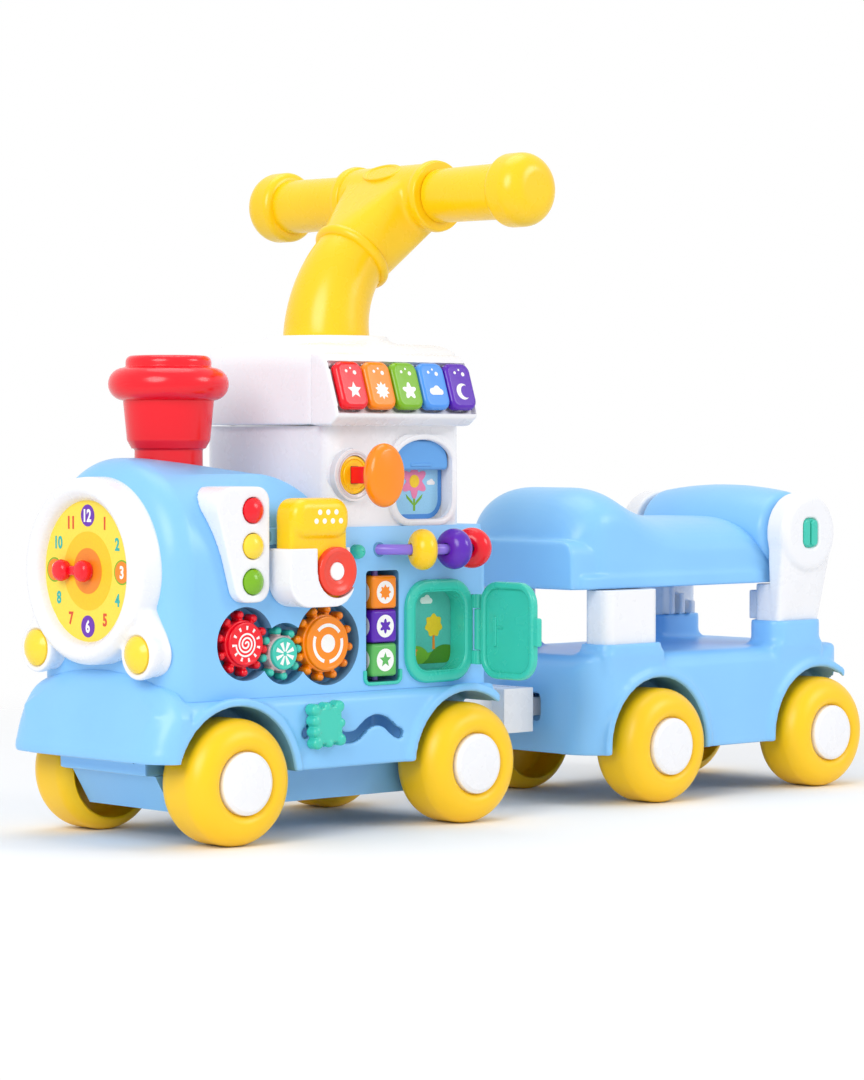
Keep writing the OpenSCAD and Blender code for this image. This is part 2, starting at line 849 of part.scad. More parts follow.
// The roof is hollow and stands on the cab's top with its edge and two cross ribs
module cab_roof() {
  color(white) {
    difference() {
      union() {
        roof_form(0);
        along_x(console_x0, console_x1) polygon([
          [6 - roof_w / 2, cab_z],
          [8 - console_low_y, cab_z],
          [-console_low_y, cab_z + 6],
          [-console_low_y, console_low_z],
          [-console_top_y, console_top_z],
          [6 - console_top_y, console_top_z + 6],
          [6 - roof_w / 2, console_top_z + 6]
        ]);
        translate([stem_x, 0, roof_z - 2]) cylinder(d = collar_d, h = collar_h + 2);
      }
      roof_form(wall);
      for (i = [0 : key_count - 1]) {
        on_console(i) translate([0, 0, -key_depth]) linear_extrude(key_depth + 2)
          round_plate(key_w + 2 * slide_gap, key_l + 2 * slide_gap, 4);
      }
    }
    for (x = [cab_front + roof_rib_in, cab_rear - roof_rib_in - wall]) {
      translate([x, 1 - roof_w / 2, cab_z]) cube([wall, roof_w - 2, roof_rib_h]);
    }
  }
}

module piano_key(i, tint) {
  color(tint) on_console(i) translate([0, 0, -key_sunk]) linear_extrude(key_sunk + key_proud)
    round_plate(key_w, key_l, 4 - slide_gap);
}

module red_key() { piano_key(0, red); }
module orange_key() { piano_key(1, orange); }
module green_key() { piano_key(2, green); }
module blue_key() { piano_key(3, "#4a96ee"); }
module purple_key() { piano_key(4, purple); }

// Handle
plug_d = 30;
plug_l = 22;
bar_x = stem_x + bend_r * (1 - cos(lean)) + stem_l * sin(lean);
bar_z = collar_z + bend_r * sin(lean) + stem_l * cos(lean);

module handle_stem() {
  color(yellow) difference() {
    union() {
      translate([stem_x + bend_r, 0, collar_z]) rotate([90, 0, 0]) rotate([0, 0, 180 - lean])
        rotate_extrude(angle = lean) translate([bend_r, 0]) circle(d = stem_d);
      translate([bar_x, 0, bar_z]) rotate([0, lean, 0]) translate([0, 0, -stem_l - 2])
        cylinder(d = stem_d - 0.4, h = stem_l - tee_d / 4 + 2);
      along_y(-tee_l / 2, tee_l / 2) translate([bar_x, bar_z]) circle(d = tee_d);
    }
    mirror_y() along_y(tee_l / 2 - plug_l, tee_l) translate([bar_x, bar_z]) circle(d = plug_d + 2 * seat_gap);
  }
}

module handle_grips() {
  ball_y = bar_w / 2 - ball_w / 2;
  color(yellow) mirror_y() {
    along_y(tee_l / 2 - plug_l + 1, tee_l / 2 + 1) translate([bar_x, bar_z]) circle(d = plug_d);
    along_y(tee_l / 2, ball_y) translate([bar_x, bar_z]) circle(d = grip_d);
    translate([bar_x, ball_y, bar_z]) rotate([90, 0, 0]) soft_disc(ball_d, ball_w);
  }
}

// Clock
bezel_back = 5;
ear_d = 34;
ear_h = 15;
lamp_sunk = 6;
dial_h = 12;
dial_plate = 3;
dial_gap = 0.2;
pivot_r = 2.5;
hand_w = 7.5;
hand_t = 4;
hand_gap = 0.4;
knob_d = 15;

module clock_bezel() {
  ring_r = bezel_w / 2;
  color(white) difference() {
    union() {
      on_face(0, clock_z) rotate_extrude() {
        translate([dial_d / 2, -bezel_back]) square([bezel_w, bezel_back + clock_proud - ring_r]);
        translate([dial_d / 2 + ring_r, clock_proud - ring_r]) circle(ring_r);
      }
      for (s = [-1, 1]) {
        on_face(s * lamp_y, clock_z - lamp_drop) translate([0, 0, -ear_h]) cylinder(d = ear_d, h = 2 * ear_h);
      }
    }
    shell_form(0);
    on_face(0, clock_z) cylinder(d = dial_d, h = clock_proud + 5);
    for (s = [-1, 1]) {
      on_face(s * lamp_y, clock_z - lamp_drop) translate([0, 0, ear_h - lamp_sunk])
        cylinder(d = lamp_d + 2 * seat_gap, h = ear_h);
    }
  }
}

module headlamps() {
  color(yellow) for (s = [-1, 1]) {
    on_face(s * lamp_y, clock_z - lamp_drop) translate([0, 0, ear_h - lamp_sunk]) {
      cylinder(d = lamp_d, h = lamp_sunk);
      translate([0, 0, lamp_sunk]) dome(lamp_d / 2, 0.22 * lamp_d);
    }
  }
}

module clock_dial() {
  color("#ffd94a") on_face(0, clock_z) difference() {
    cylinder(d = dial_d - 2 * dial_gap, h = dial_h);
    difference() {
      translate([0, 0, -1]) cylinder(d = dial_d - 6, h = dial_h - dial_plate + 1);
      cylinder(r = pivot_r + 4, h = dial_h);
    }
    translate([0, 0, 2]) cylinder(r = pivot_r + run_gap, h = dial_h);
  }
}

// The hand points to nine: a bar with a knob at each end
module clock_hand() {
  color(red) on_face(0, clock_z) {
    translate([0, 0, 3]) cylinder(r = pivot_r, h = dial_h);
    translate([0, 0, dial_h + hand_gap]) {
      translate([-hand_w / 2, 0, 0]) cube([hand_w, hand_l, hand_t]);
      for (y = [0, hand_l]) {
        translate([0, y, 0]) cylinder(d = knob_d, h = clock_proud - dial_h - hand_gap - 0.5);
      }
    }
  }
}

// Chimney
module chimney() {
  cup_z = neck_top;
  ring_z = cup_z + cup_h + ring_t / 2;
  inner_d = neck_d - 2 * neck_wall;
  color(red) translate([chimney_x, 0, 0]) difference() {
    union() {
      translate([0, 0, neck_low]) cylinder(d = neck_d, h = neck_top - neck_low + 1);
      translate([0, 0, cup_z]) cylinder(d1 = cup_d - 6, d2 = cup_d, h = cup_h);
      translate([0, 0, ring_z]) soft_disc(ring_d, ring_t);
      translate([0, 0, ring_z]) cylinder(d = top_d, h = ring_t / 2 + 8);
    }
    translate([0, 0, neck_low - 1]) cylinder(d = inner_d, h = neck_top - neck_low - 2);
  }
}

// Spring under the chimney: one wire along a helix
spring_r = 14;
wire_r = 1.2;
spring_rings = 10;
wire_sides = 6;

module chimney_spring() {
  low = guide_floor + guide_floor_t + wire_r + 0.1;
  high = neck_top - 3 - wire_r - 0.1;
  steps = spring_turns * spring_rings;
  function wire_point(i, k) =
    let (a = 360 * i / spring_rings, b = 360 * k / wire_sides, r = spring_r + wire_r * cos(b))
    [r * cos(a), r * sin(a), low + (high - low) * i / steps + wire_r * sin(b)];
  points = [for (i = [0 : steps], k = [0 : wire_sides - 1]) wire_point(i, k)];
  sides = [
    for (i = [0 : steps - 1], k = [0 : wire_sides - 1])
      let (p = i * wire_sides + k, q = i * wire_sides + (k + 1) % wire_sides)
      each [[p, p + wire_sides, q + wire_sides], [p, q + wire_sides, q]]
  ];
  last = steps * wire_sides;
  ends = [
    for (k = [1 : wire_sides - 2])
      each [[0, k, k + 1], [last, last + k + 1, last + k]]
  ];
  color(steel) translate([chimney_x, 0, 0]) polyhedron(points, concat(sides, ends));
}

// Traffic light
panel_x = 8;
panel_z = ledge_z + 103;
panel_t = 9;
panel_back = 32;
light_x = 13.5;
light_pitch = 24;
light_low = 3.5;
light_dome = 4;

module light_place(i) {
  near_side(light_x, panel_z + i * light_pitch) children();
}

module traffic_panel() {
  color(white) difference() {
    near_side(0, panel_z) translate([0, 0, -panel_back])
      linear_extrude(panel_back + panel_t) hull() {
        translate([-3, 26]) circle(14, $fn = 32);
        translate([18, 30]) circle(10, $fn = 32);
        translate([9, -27]) circle(11, $fn = 32);
        translate([17, -27]) circle(11, $fn = 32);
      }
    shell_form(0);
    for (i = [-1, 0, 1]) {
      light_place(i) translate([0, 0, 0.5]) cylinder(d = light_d + 2 * slide_gap, h = panel_t);
    }
  }
}

module traffic_light(i, tint) {
  color(tint) light_place(i) {
    translate([0, 0, light_low]) cylinder(d = light_d, h = panel_t - light_low);
    translate([0, 0, panel_t]) dome(light_d / 2, light_dome);
  }
}

module red_light() { traffic_light(1, red); }
module yellow_light() { traffic_light(0, yellow); }
module green_light() { traffic_light(-1, green); }

// Telephone
cradle_x = 62.5;
cradle_z = ledge_z + 61;
cradle_h = 40;
cradle_t = 24;
cradle_wall = 3.5;
cradle_r = 18;
notch_x = 13.5;
notch_low = cradle_t - cradle_wall - 2;
ring_rise = 24;
dial_ring_d = 34;
handset_top = ledge_z + 135;

// Front view of the cradle or of what fits in it, moved inwards by t, up to height h
module cradle_outline(t, h) {
  half = cradle_w / 2 - t;
  r = cradle_r - t;
  translate([-half, r + t]) square([2 * half, h - r - t]);
  translate([r - half, t]) square([2 * (half - r), h - t]);
  for (s = [-1, 1]) {
    translate([s * (half - r), r + t]) circle(r);
  }
}

module phone_cradle() {
  color(white) near_side(cradle_x, cradle_z) difference() {
    linear_extrude(cradle_t) cradle_outline(0, cradle_h);
    translate([0, 0, 3]) linear_extrude(cradle_t - 3 - cradle_wall)
      cradle_outline(cradle_wall, cradle_h + 1);
    translate([notch_x, ring_rise, notch_low]) cylinder(d = dial_ring_d + 2, h = 10);
    translate([notch_x - dial_ring_d / 2 - 1, ring_rise, notch_low])
      cube([dial_ring_d + 2, cradle_h, 10]);
  }
}

module phone_handset() {
  gap = cradle_wall + slide_gap;
  body_t = cradle_t - cradle_wall - 3 - 2 * slide_gap;
  top = handset_top - cradle_z;
  color(yellow) near_side(cradle_x, cradle_z) {
    translate([0, 0, 3 + slide_gap]) {
      linear_extrude(body_t) cradle_outline(gap, top - 10);
      translate([0, top - 14, 0]) linear_extrude(body_t + 5) round_plate(cradle_w - 2 * gap, 28, 12);
    }
    translate([notch_x, ring_rise, 3 + slide_gap + body_t - 1]) difference() {
      cylinder(d = dial_ring_d, h = 6);
      translate([0, 0, 4]) cylinder(d = 15, h = 5);
    }
  }
}

// Gears: round teeth on a disc, turning on a fixed pin
module gear(place, turn, tint) {
  pitch_r = gear_m * place[2] / 2;
  color(tint) near_side(place[0], place[1]) rotate(turn) difference() {
    union() {
      translate([0, 0, 0.5 - gear_depth]) linear_extrude(gear_t) {
        circle(pitch_r - tooth_out - tooth_r - 0.4);
        for (i = [0 : place[2] - 1]) {
          rotate(i * 360 / place[2]) {
            translate([pitch_r + tooth_out, 0]) circle(tooth_r);
            translate([0, -tooth_neck / 2]) square([pitch_r + tooth_out, tooth_neck]);
          }
        }
      }
      translate([0, 0, -2]) cylinder(r = pitch_r - 4.5, h = 3);
    }
    translate([0, 0, -gear_depth - 1]) cylinder(r = gear_pin_r + run_gap, h = gear_depth - 2.5);
  }
}

module red_gear() { gear(gear_places[0], red_to_teal, red); }
module teal_gear() { gear(gear_places[1], teal_turn, teal); }
module orange_gear() { gear(gear_places[2], orange_turn, orange); }

// Tumbler blocks, counted from the bottom
module tumbler(i, tint) {
  color(tint) translate([
    block_x, block_axis - side_y, block_low + 3 + block_gap + i * (block + block_gap)
  ]) linear_extrude(block) difference() {
    round_plate(block, block, block_r);
    circle(block_axle_r + run_gap);
  }
}

module orange_block() { tumbler(2, orange); }
module purple_block() { tumbler(1, purple); }
module green_block() { tumbler(0, "#5db85c"); }

module guide_rods() {
  color(lavender) {
    at_rod() rod_bow_solid(rod_d / 2);
    translate([block_x, block_axis - side_y, block_low]) cylinder(r = block_axle_r, h = slot_h);
  }
}

// Beads, each turned about the rod's bow
bead_turns = [-23.7, 4, 30.7];

module bead(i, tint) {
  color(tint) at_rod() difference() {
    rotate([0, 0, bead_turns[i] - 90]) translate([rod_bow, 0, 0]) rotate([90, 0, 0])
      soft_disc(bead_d, bead_t);
    rotate_extrude() translate([rod_bow, 0]) circle(rod_d / 2 + slide_gap);
  }
}

module yellow_bead() { bead(0, yellow); }
module purple_bead() { bead(1, purple); }
module red_bead() { bead(2, red); }

// Lock and key
key_stand = 35;
head_t = 16;

module lock_barrel() {
  color(yellow) near_side(lock_x, lock_z, cab_y) difference() {
    translate([0, 0, 0.5 - lock_depth]) cylinder(d = lock_bore_d - 2 * slide_gap, h = lock_depth + 1.5);
    translate([-3.5, -6, -6]) cube([7, 12, 10]);
  }
}

module lock_key() {
  color(orange) near_side(lock_x, lock_z, cab_y) {
    translate([-3.45, -5.95, -5.9]) cube([6.9, 11.9, key_stand]);
    translate([0, 0, key_stand]) soft_disc(head_d, head_t);
  }
}

// Window blind and picture cards
module window_blind() {
  blind_h = window_h - blind_travel - 4;
  blind_back = card_t + 1.3;
  blind_t = window_depth - blind_back - window_skin - slide_gap;
  top = window_h / 2 - 1;
  half = window_w / 2 - 0.5;
  color("#5fa3e6") near_side(window_x, window_z, cab_y)
    translate([0, 0, blind_back - window_depth]) linear_extrude(blind_t) difference() {
      round_plate(2 * half, 2 * top, window_r);
      translate([-window_w, -window_h]) square([2 * window_w, window_h + top - blind_h]);
    }
}

module picture_cards() {
  color("#9ad4f5") {
    near_side(window_x, window_z, cab_y) translate([0, 0, -window_depth]) linear_extrude(card_t)
      round_plate(window_w - 0.4, window_h - 0.4, blind_room_r - 0.2);
    near_side(door_x, door_z) translate([0, 0, -door_depth]) linear_extrude(card_t)
      round_plate(door_w - 0.4, door_h - 0.4, door_r - 0.2);
  }
}

// Door, its frame and the other teal fittings
peg_x = 113;
peg_z = ledge_z + 97;
peg_d = 10;
peg_back = 3;
knuckle_low = door_z - 25;
knuckle_l = 10;
knuckle_span = 50;
hinge_arm = knuckle_r + 0.5;
sleeve_t = 2;

module door_frame() {
  near_side(door_x, door_z) difference() {
    union() {
      linear_extrude(frame_t) round_plate(door_w + 2 * frame_w, door_h + 2 * frame_w, door_r + frame_w);
      translate([0, 0, card_t + 0.1 - door_depth]) linear_extrude(door_depth)
        round_plate(door_w - 0.1, door_h - 0.1, door_r);
    }
    translate([0, 0, -door_depth]) linear_extrude(door_depth + frame_t + 1)
      round_plate(door_w - 2 * sleeve_t, door_h - 2 * sleeve_t, door_r - sleeve_t);
  }
  for (z = [knuckle_low, knuckle_low + knuckle_span - knuckle_l]) {
    translate([hinge_x, -side_y - hinge_out, z]) cylinder(r = knuckle_r, h = knuckle_l);
    translate([hinge_x - hinge_arm, -side_y - hinge_out, z])
      cube([hinge_arm + 1, hinge_out - 1, knuckle_l]);
  }
  translate([hinge_x, -side_y - hinge_out, knuckle_low + 1]) cylinder(r = pin_r, h = knuckle_span - 2);
}

module block_lip() {
  near_side(block_x, block_low + slot_h / 2) difference() {
    linear_extrude(1.5) round_plate(2 * slot_half + 5, slot_h + 5, 5.5);
    translate([0, 0, -1]) linear_extrude(4) round_plate(2 * slot_half, slot_h, 3);
    translate([-50, 8 - slot_h / 2, -1]) cube([100, slot_h + 50, 10]);
  }
}

module teal_fittings() {
  color(teal) {
    door_frame();
    block_lip();
    difference() {
      near_side(peg_x, peg_z) {
        translate([0, 0, -peg_back]) cylinder(d = peg_d, h = peg_back + 4);
        translate([0, 0, 4]) dome(peg_d / 2, 2.5);
      }
      shell_form(0);
    }
  }
}

// The door is drawn closed, then swung open by a quarter turn
module door() {
  leaf_w = door_w + frame_w - 4;
  leaf_h = door_h + 2 * frame_w - 4;
  edge_x = hinge_x - 4 - leaf_w / 2;
  rim_t = 3;
  leaf_t = 3;
  color(teal) translate([hinge_x, -side_y - hinge_out, 0]) rotate([0, 0, 90])
    translate([-hinge_x, side_y + hinge_out, 0]) difference() {
      union() {
        near_side(edge_x, door_z) translate([0, 0, frame_t + slide_gap]) {
          difference() {
            linear_extrude(rim_t + leaf_t) round_plate(leaf_w, leaf_h, door_r + 2);
            translate([0, 0, -1]) linear_extrude(rim_t + 1) round_plate(leaf_w - 10, leaf_h - 10, door_r - 3);
          }
          translate([-leaf_w / 2 - 4, -10, 1]) cube([8, 20, 4]);
        }
        translate([hinge_x, -side_y - hinge_out, knuckle_low + knuckle_l + 0.4])
          cylinder(r = knuckle_r, h = knuckle_span - 2 * knuckle_l - 0.8);
        translate([hinge_x - 7, -side_y - hinge_out - 1.5, knuckle_low + knuckle_l + 0.4])
          cube([7, 3, knuckle_span - 2 * knuckle_l - 0.8]);
      }
      translate([hinge_x, -side_y - hinge_out, 0]) cylinder(r = pin_r + run_gap, h = deck_z);
    }
}

// Slider on its wavy slot
module slider() {
  shank_r = slot_w / 2 - slide_gap;
  color(teal) near_side(wave_x, wave_z + wave_a, skirt_y) {
    translate([0, 0, -arch_wall - 3]) cylinder(r = 7, h = 2.6);
    translate([0, 0, -arch_wall - 3]) cylinder(r = shank_r, h = arch_wall + 4);
    translate([0, 0, 0.4]) linear_extrude(10.6) round_plate(slider_w, slider_w + 2, 6);
  }
}

// Coupler: plate on the skirt, bar, cross block and tongue with its eye
hitch_x = wagon_front_x - 48;
coupler_z = axle_z + 29;
block_x0 = hitch_x - 65;
block_x1 = hitch_x - 35;
eye_gap = 0.1;

module coupler() {
  color(white) difference() {
    union() {
      translate([skirt_rear, -20, coupler_z - 18]) cube([7, 40, 36]);
      translate([skirt_rear, -16, coupler_z - 10]) cube([block_x0 - skirt_rear + 1, 32, 20]);
      translate([block_x0, -30, coupler_z - 17]) cube([block_x1 - block_x0, 60, 33]);
      translate([block_x1 - 1, -tongue_half, coupler_z - 7])
        cube([hitch_x - block_x1 + 1, 2 * tongue_half, 14]);
      translate([hitch_x, 0, coupler_z - 7]) cylinder(r = tongue_half, h = 14);
    }
    translate([hitch_x, 0, coupler_z - 20]) cylinder(d = hitch_d + 2 * eye_gap, h = 40);
  }
}

// Wheels
outer_shoulder = 15;
inner_shoulder = 12;
cap_sunk = 4;
hub_r = 12;
tyre_wall = 9;
hollow_depth = 26;

module tyre_profile() {
  r = wheel_d / 2;
  low = tyre_face - tyre_w;
  difference() {
    union() {
      translate([0, low]) square([r - outer_shoulder, tyre_w]);
      translate([0, low]) square([r - inner_shoulder, inner_shoulder + 1]);
      translate([0, low + inner_shoulder]) square([r, tyre_w - outer_shoulder - inner_shoulder]);
      translate([r - outer_shoulder, tyre_face - outer_shoulder]) circle(outer_shoulder);
      translate([r - inner_shoulder, low + inner_shoulder]) circle(inner_shoulder);
    }
    translate([-r, low - 1]) square([r + axle_d / 2 + seat_gap, tyre_w + 2]);
    translate([hub_r, low - 1]) square([r - tyre_wall - hub_r, hollow_depth + 1]);
    translate([0, tyre_face - cap_sunk]) square([cap_d / 2 + seat_gap, cap_sunk + 1]);
  }
}

module tyres(x) {
  color(yellow) for (s = [-1, 1]) {
    wheel_side(x, s) rotate_extrude() tyre_profile();
  }
}

module axle(x) {
  end_y = tyre_face - cap_sunk - 0.2;
  color(white) {
    along_y(-end_y, end_y) translate([x, axle_z]) circle(d = axle_d);
    for (s = [-1, 1]) {
      wheel_side(x, s) translate([0, 0, tyre_face - cap_sunk]) {
        cylinder(d = cap_d, h = cap_sunk + 1);
        translate([0, 0, cap_sunk + 1]) dome(cap_d / 2, cap_dome - 1);
      }
    }
  }
}

module loco_front_axle() { axle(0); }
module loco_front_tyres() { tyres(0); }
module loco_rear_axle() { axle(loco_wheelbase); }
module loco_rear_tyres() { tyres(loco_wheelbase); }
module wagon_front_axle() { axle(wagon_front_x); }
module wagon_front_tyres() { tyres(wagon_front_x); }
module wagon_rear_axle() { axle(wagon_rear_x); }
module wagon_rear_tyres() { tyres(wagon_rear_x); }

// Wagon chassis
chassis_y = chassis_w / 2;
chassis_x0 = wagon_front_x - chassis_front;
chassis_x1 = wagon_rear_x + chassis_rear;
chassis_low = axle_z - chassis_drop;
chassis_edge_r = 14;
chassis_wall = 4;
post_y = 64.5;
front_post_x = wagon_front_x - 24.5;
rear_post_x = wagon_rear_x - 21.5;
socket_wall = 4;
front_socket_h = 9;
rear_socket_h = 20;
post_r = 9;
bearing_r = 11;

module socket(x, l, h) {
  mirror_y() translate([x, post_y, chassis_z - 1]) linear_extrude(h + 1) difference() {
    round_plate(l + 2 * socket_wall, post_w + 2 * socket_wall, post_r + socket_wall);
    round_plate(l + 2 * seat_gap, post_w + 2 * seat_gap, post_r);
  }
}

module wagon_chassis() {
  rim_edge = chassis_y + rim_proud;
  top = chassis_rise + chassis_drop;
  pocket_x0 = wagon_front_x + well_r + 5;
  pocket_x1 = wagon_rear_x - well_r - 5;
  color(blue) difference() {
    union() {
      difference() {
        union() {
          intersection() {
            translate([0, 0, chassis_low]) linear_extrude(top)
              round_rect(chassis_x0, chassis_x1, -chassis_y, chassis_y, chassis_r);
            along_x(chassis_x0 - 1, chassis_x1 + 1)
              round_rect(-chassis_y, chassis_y, chassis_low - 40, chassis_z, chassis_edge_r);
            along_y(-chassis_y, chassis_y)
              round_rect(chassis_x0, chassis_x1, chassis_low - 40, chassis_z, chassis_edge_r);
          }
          arch_rims(wagon_front_x, chassis_low, chassis_y, rim_edge, chassis_x1);
          arch_rims(wagon_rear_x, chassis_low, chassis_y, rim_edge, chassis_x1 - 6);
        }
        wheel_wells(wagon_front_x);
        wheel_wells(wagon_rear_x);
        translate([chassis_x0 + chassis_wall, -spine_y, 0])
          cube([chassis_x1 - chassis_x0 - 2 * chassis_wall, 2 * spine_y, chassis_z - chassis_wall]);
        mirror_y() translate([pocket_x0, spine_y + chassis_wall, 0])
          cube([pocket_x1 - pocket_x0, chassis_y - 2 * chassis_wall - spine_y, chassis_z - chassis_edge_r]);
        translate([chassis_x0 - 1, -24, coupler_z - 10]) cube([chassis_wall + 2, 48, 20]);
      }
      socket(front_post_x, front_post_l, front_socket_h);
      socket(rear_post_x, rear_post_l, rear_socket_h);
      mirror_y() for (x = [wagon_front_x, wagon_rear_x]) {
        along_y(spine_y - 5, well_y - 0.5) translate([x, axle_z]) circle(bearing_r);
      }
      translate([hitch_x, 0, coupler_z + 9]) cylinder(r = hitch_d / 2 + 5, h = chassis_z - coupler_z - 10);
      translate([hitch_x, 0, coupler_z - 14]) cylinder(d = hitch_d, h = 30);
    }
    for (x = [wagon_front_x, wagon_rear_x]) {
      along_y(-well_y - 1, well_y + 1) translate([x, axle_z]) circle(axle_d / 2 + run_gap);
    }
  }
}

module front_posts() {
  color(white) mirror_y() translate([front_post_x, post_y, chassis_z])
    linear_extrude(post_h) round_plate(front_post_l, post_w, post_r);
}

// Rear posts with their hinge drums
drum_x = wagon_rear_x - 20;
drum_z = seat_z + 39;
drum_in = seat_w / 2 + 2.5;
drum_edge_r = 7;
stub_r = 8;
stub_end = drum_in + 3.7;
release_w = 17;
release_h = 23;
release_low = drum_in + 6 + release_press;
release_proud = 0.5;
fin_w = 6;

module drum() {
  r = drum_d / 2;
  rotate_extrude() {
    translate([0, drum_in]) square([r - drum_edge_r, drum_w]);
    translate([0, drum_in]) square([r, drum_w - drum_edge_r]);
    translate([r - drum_edge_r, drum_in + drum_w - drum_edge_r]) intersection() {
      circle(drum_edge_r);
      translate([-drum_edge_r, 0]) square([2 * drum_edge_r, drum_edge_r]);
    }
  }
}

module rear_posts() {
  knee_z = seat_z - 1;
  post_out = post_y + post_w / 2;
  color(white) difference() {
    mirror_y() {
      translate([rear_post_x, post_y, chassis_z]) linear_extrude(knee_z - chassis_z)
        round_plate(rear_post_l, post_w, post_r);
      translate([rear_post_x - rear_post_l / 2 + 4, drum_in, knee_z - 20])
        cube([rear_post_l - 8, max(post_out - drum_in, 5), drum_z - knee_z + 20]);
      translate([drum_x, 0, drum_z]) rotate([-90, 0, 0]) drum();
      for (i = [0, 1, 2]) {
        translate([rear_post_x - 18 + 12 * i, post_y - post_w / 2 - 9, chassis_z + rear_socket_h])
          cube([fin_w, 10, post_h - rear_socket_h - 6 - 6 * i]);
      }
    }
    mirror_y() {
      along_y(drum_in - 1, stub_end + 0.3) translate([drum_x, drum_z]) circle(stub_r + run_gap);
      along_y(release_low - release_press - 0.5, drum_in + drum_w + 1) translate([drum_x, drum_z])
        round_plate(release_w + 2 * slide_gap, release_h + 2 * slide_gap, 6);
    }
  }
}

module release() {
  color(teal) along_y(release_low, drum_in + drum_w + release_proud) translate([drum_x, drum_z])
    round_plate(release_w, release_h, 6 - slide_gap);
}

module left_release() { mirror([0, 1, 0]) release(); }
module right_release() { release(); }

// Seat
seat_x0 = wagon_front_x - 73;
seat_x1 = wagon_rear_x - 60;
seat_edge_r = 26;
seat_wall = 3.5;
hump_r = 40;
hump_x = seat_x0 + hump_r;
hump_run = 90;
tail_r = 30;
ledge_step = 5;
front_ledge_h = 36;
web_half = 50;
web_h = 20;
web_low = 5;

// Side view of the saddle, moved inwards by t
module saddle_outline(t) {
  low = seat_z - 10;
  hump_top = saddle_z + hump_h;
  polygon([
    [seat_x0 + t, low],
    [seat_x0 + t, hump_top - hump_r],
    [hump_x + hump_r * sin(22), hump_top - hump_r + (hump_r - t) * cos(22)],
    [hump_x + hump_run, saddle_z - t],
    [seat_x1 - tail_r, saddle_z - t],
    [seat_x1 - t, saddle_z - tail_r],
    [seat_x1 - t, low]
  ]);
  translate([hump_x, hump_top - hump_r]) circle(hump_r - t);
  translate([seat_x1 - tail_r, saddle_z - tail_r]) circle(tail_r - t);
}

module seat_form(t) {
  half = seat_w / 2 - t;
  low = t > 0 ? seat_z - 2 : seat_z;
  top = saddle_z + hump_h - t;
  intersection() {
    along_y(-half, half) saddle_outline(t);
    along_x(seat_x0 - 1, seat_x1 + 1) round_rect(-half, half, seat_z - 60, top, seat_edge_r - t);
    translate([0, 0, low]) linear_extrude(saddle_h + hump_h + 4)
      round_rect(seat_x0 + t, seat_x1 - t, -half, half, seat_edge_r - 8 - t);
  }
}

module seat() {
  color(blue) {
    difference() {
      union() {
        difference() {
          seat_form(0);
          seat_form(seat_wall);
        }
        translate([0, 0, seat_z]) linear_extrude(front_ledge_h)
          difference() {
            round_rect(seat_x0 - ledge_step, seat_x0 + 60, -seat_w / 2, seat_w / 2, seat_edge_r - 8);
            translate([seat_x0 + 3, -seat_w]) square([seat_x1 - seat_x0, 2 * seat_w]);
          }
        translate([seat_x1 - seat_wall, -web_half, seat_z + web_low])
          cube([drum_x - seat_x1, 2 * web_half, web_h]);
      }
      along_y(-seat_w, seat_w) translate([drum_x, drum_z]) circle(d = roll_d + 2 * seat_gap);
    }
  }
}

// Backrest roll: a barrel with a stub at each end
roll_end_d = 62;

module backrest_roll() {
  half = seat_w / 2;
  crown = (roll_d - roll_end_d) / 2;
  crown_r = (half * half + crown * crown) / (2 * crown);
  color(blue) translate([drum_x, 0, drum_z]) rotate([90, 0, 0]) rotate_extrude() {
    intersection() {
      translate([roll_d / 2 - crown_r, 0]) circle(crown_r, $fn = 256);
      translate([0, -half]) square([roll_d, 2 * half]);
    }
    translate([0, -stub_end]) square([stub_r, 2 * stub_end]);
  }
}

train() loco_shell();
train() loco_skirt();
train() loco_underframe();
train() battery_box();
train() battery_cover();
train() sound_module();
train() cab();
train() cab_roof();
train() handle_stem();
train() handle_grips();
train() clock_bezel();
train() clock_dial();
train() headlamps();
train() traffic_panel();
train() phone_cradle();
train() teal_fittings();
train() guide_rods();
train() picture_cards();
train() coupler();
train() chimney_spring();
train() chimney();
train() clock_hand();
train() red_light();
train() yellow_light();
train() green_light();
train() phone_handset();
train() red_gear();
train() teal_gear();
train() orange_gear();
train() orange_block();
train() purple_block();
train() green_block();
train() yellow_bead();
train() purple_bead();
train() red_bead();
train() lock_barrel();
train() lock_key();
train() window_blind();
train() door();
train() slider();
train() red_key();
train() orange_key();
train() green_key();
train() blue_key();
train() purple_key();
train() loco_front_axle();
train() loco_front_tyres();
train() loco_rear_axle();
train() loco_rear_tyres();
train() wagon_chassis();
train() front_posts();
train() rear_posts();
train() seat();
train() backrest_roll();
train() left_release();
train() right_release();
train() wagon_front_axle();
train() wagon_front_tyres();
train() wagon_rear_axle();
train() wagon_rear_tyres();
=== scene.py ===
"""Looks of the ride on train: moulded plastic pieces, a pale floor, soft light and a camera."""

import json
import math

import bmesh
import bpy
from mathutils import Matrix, Vector


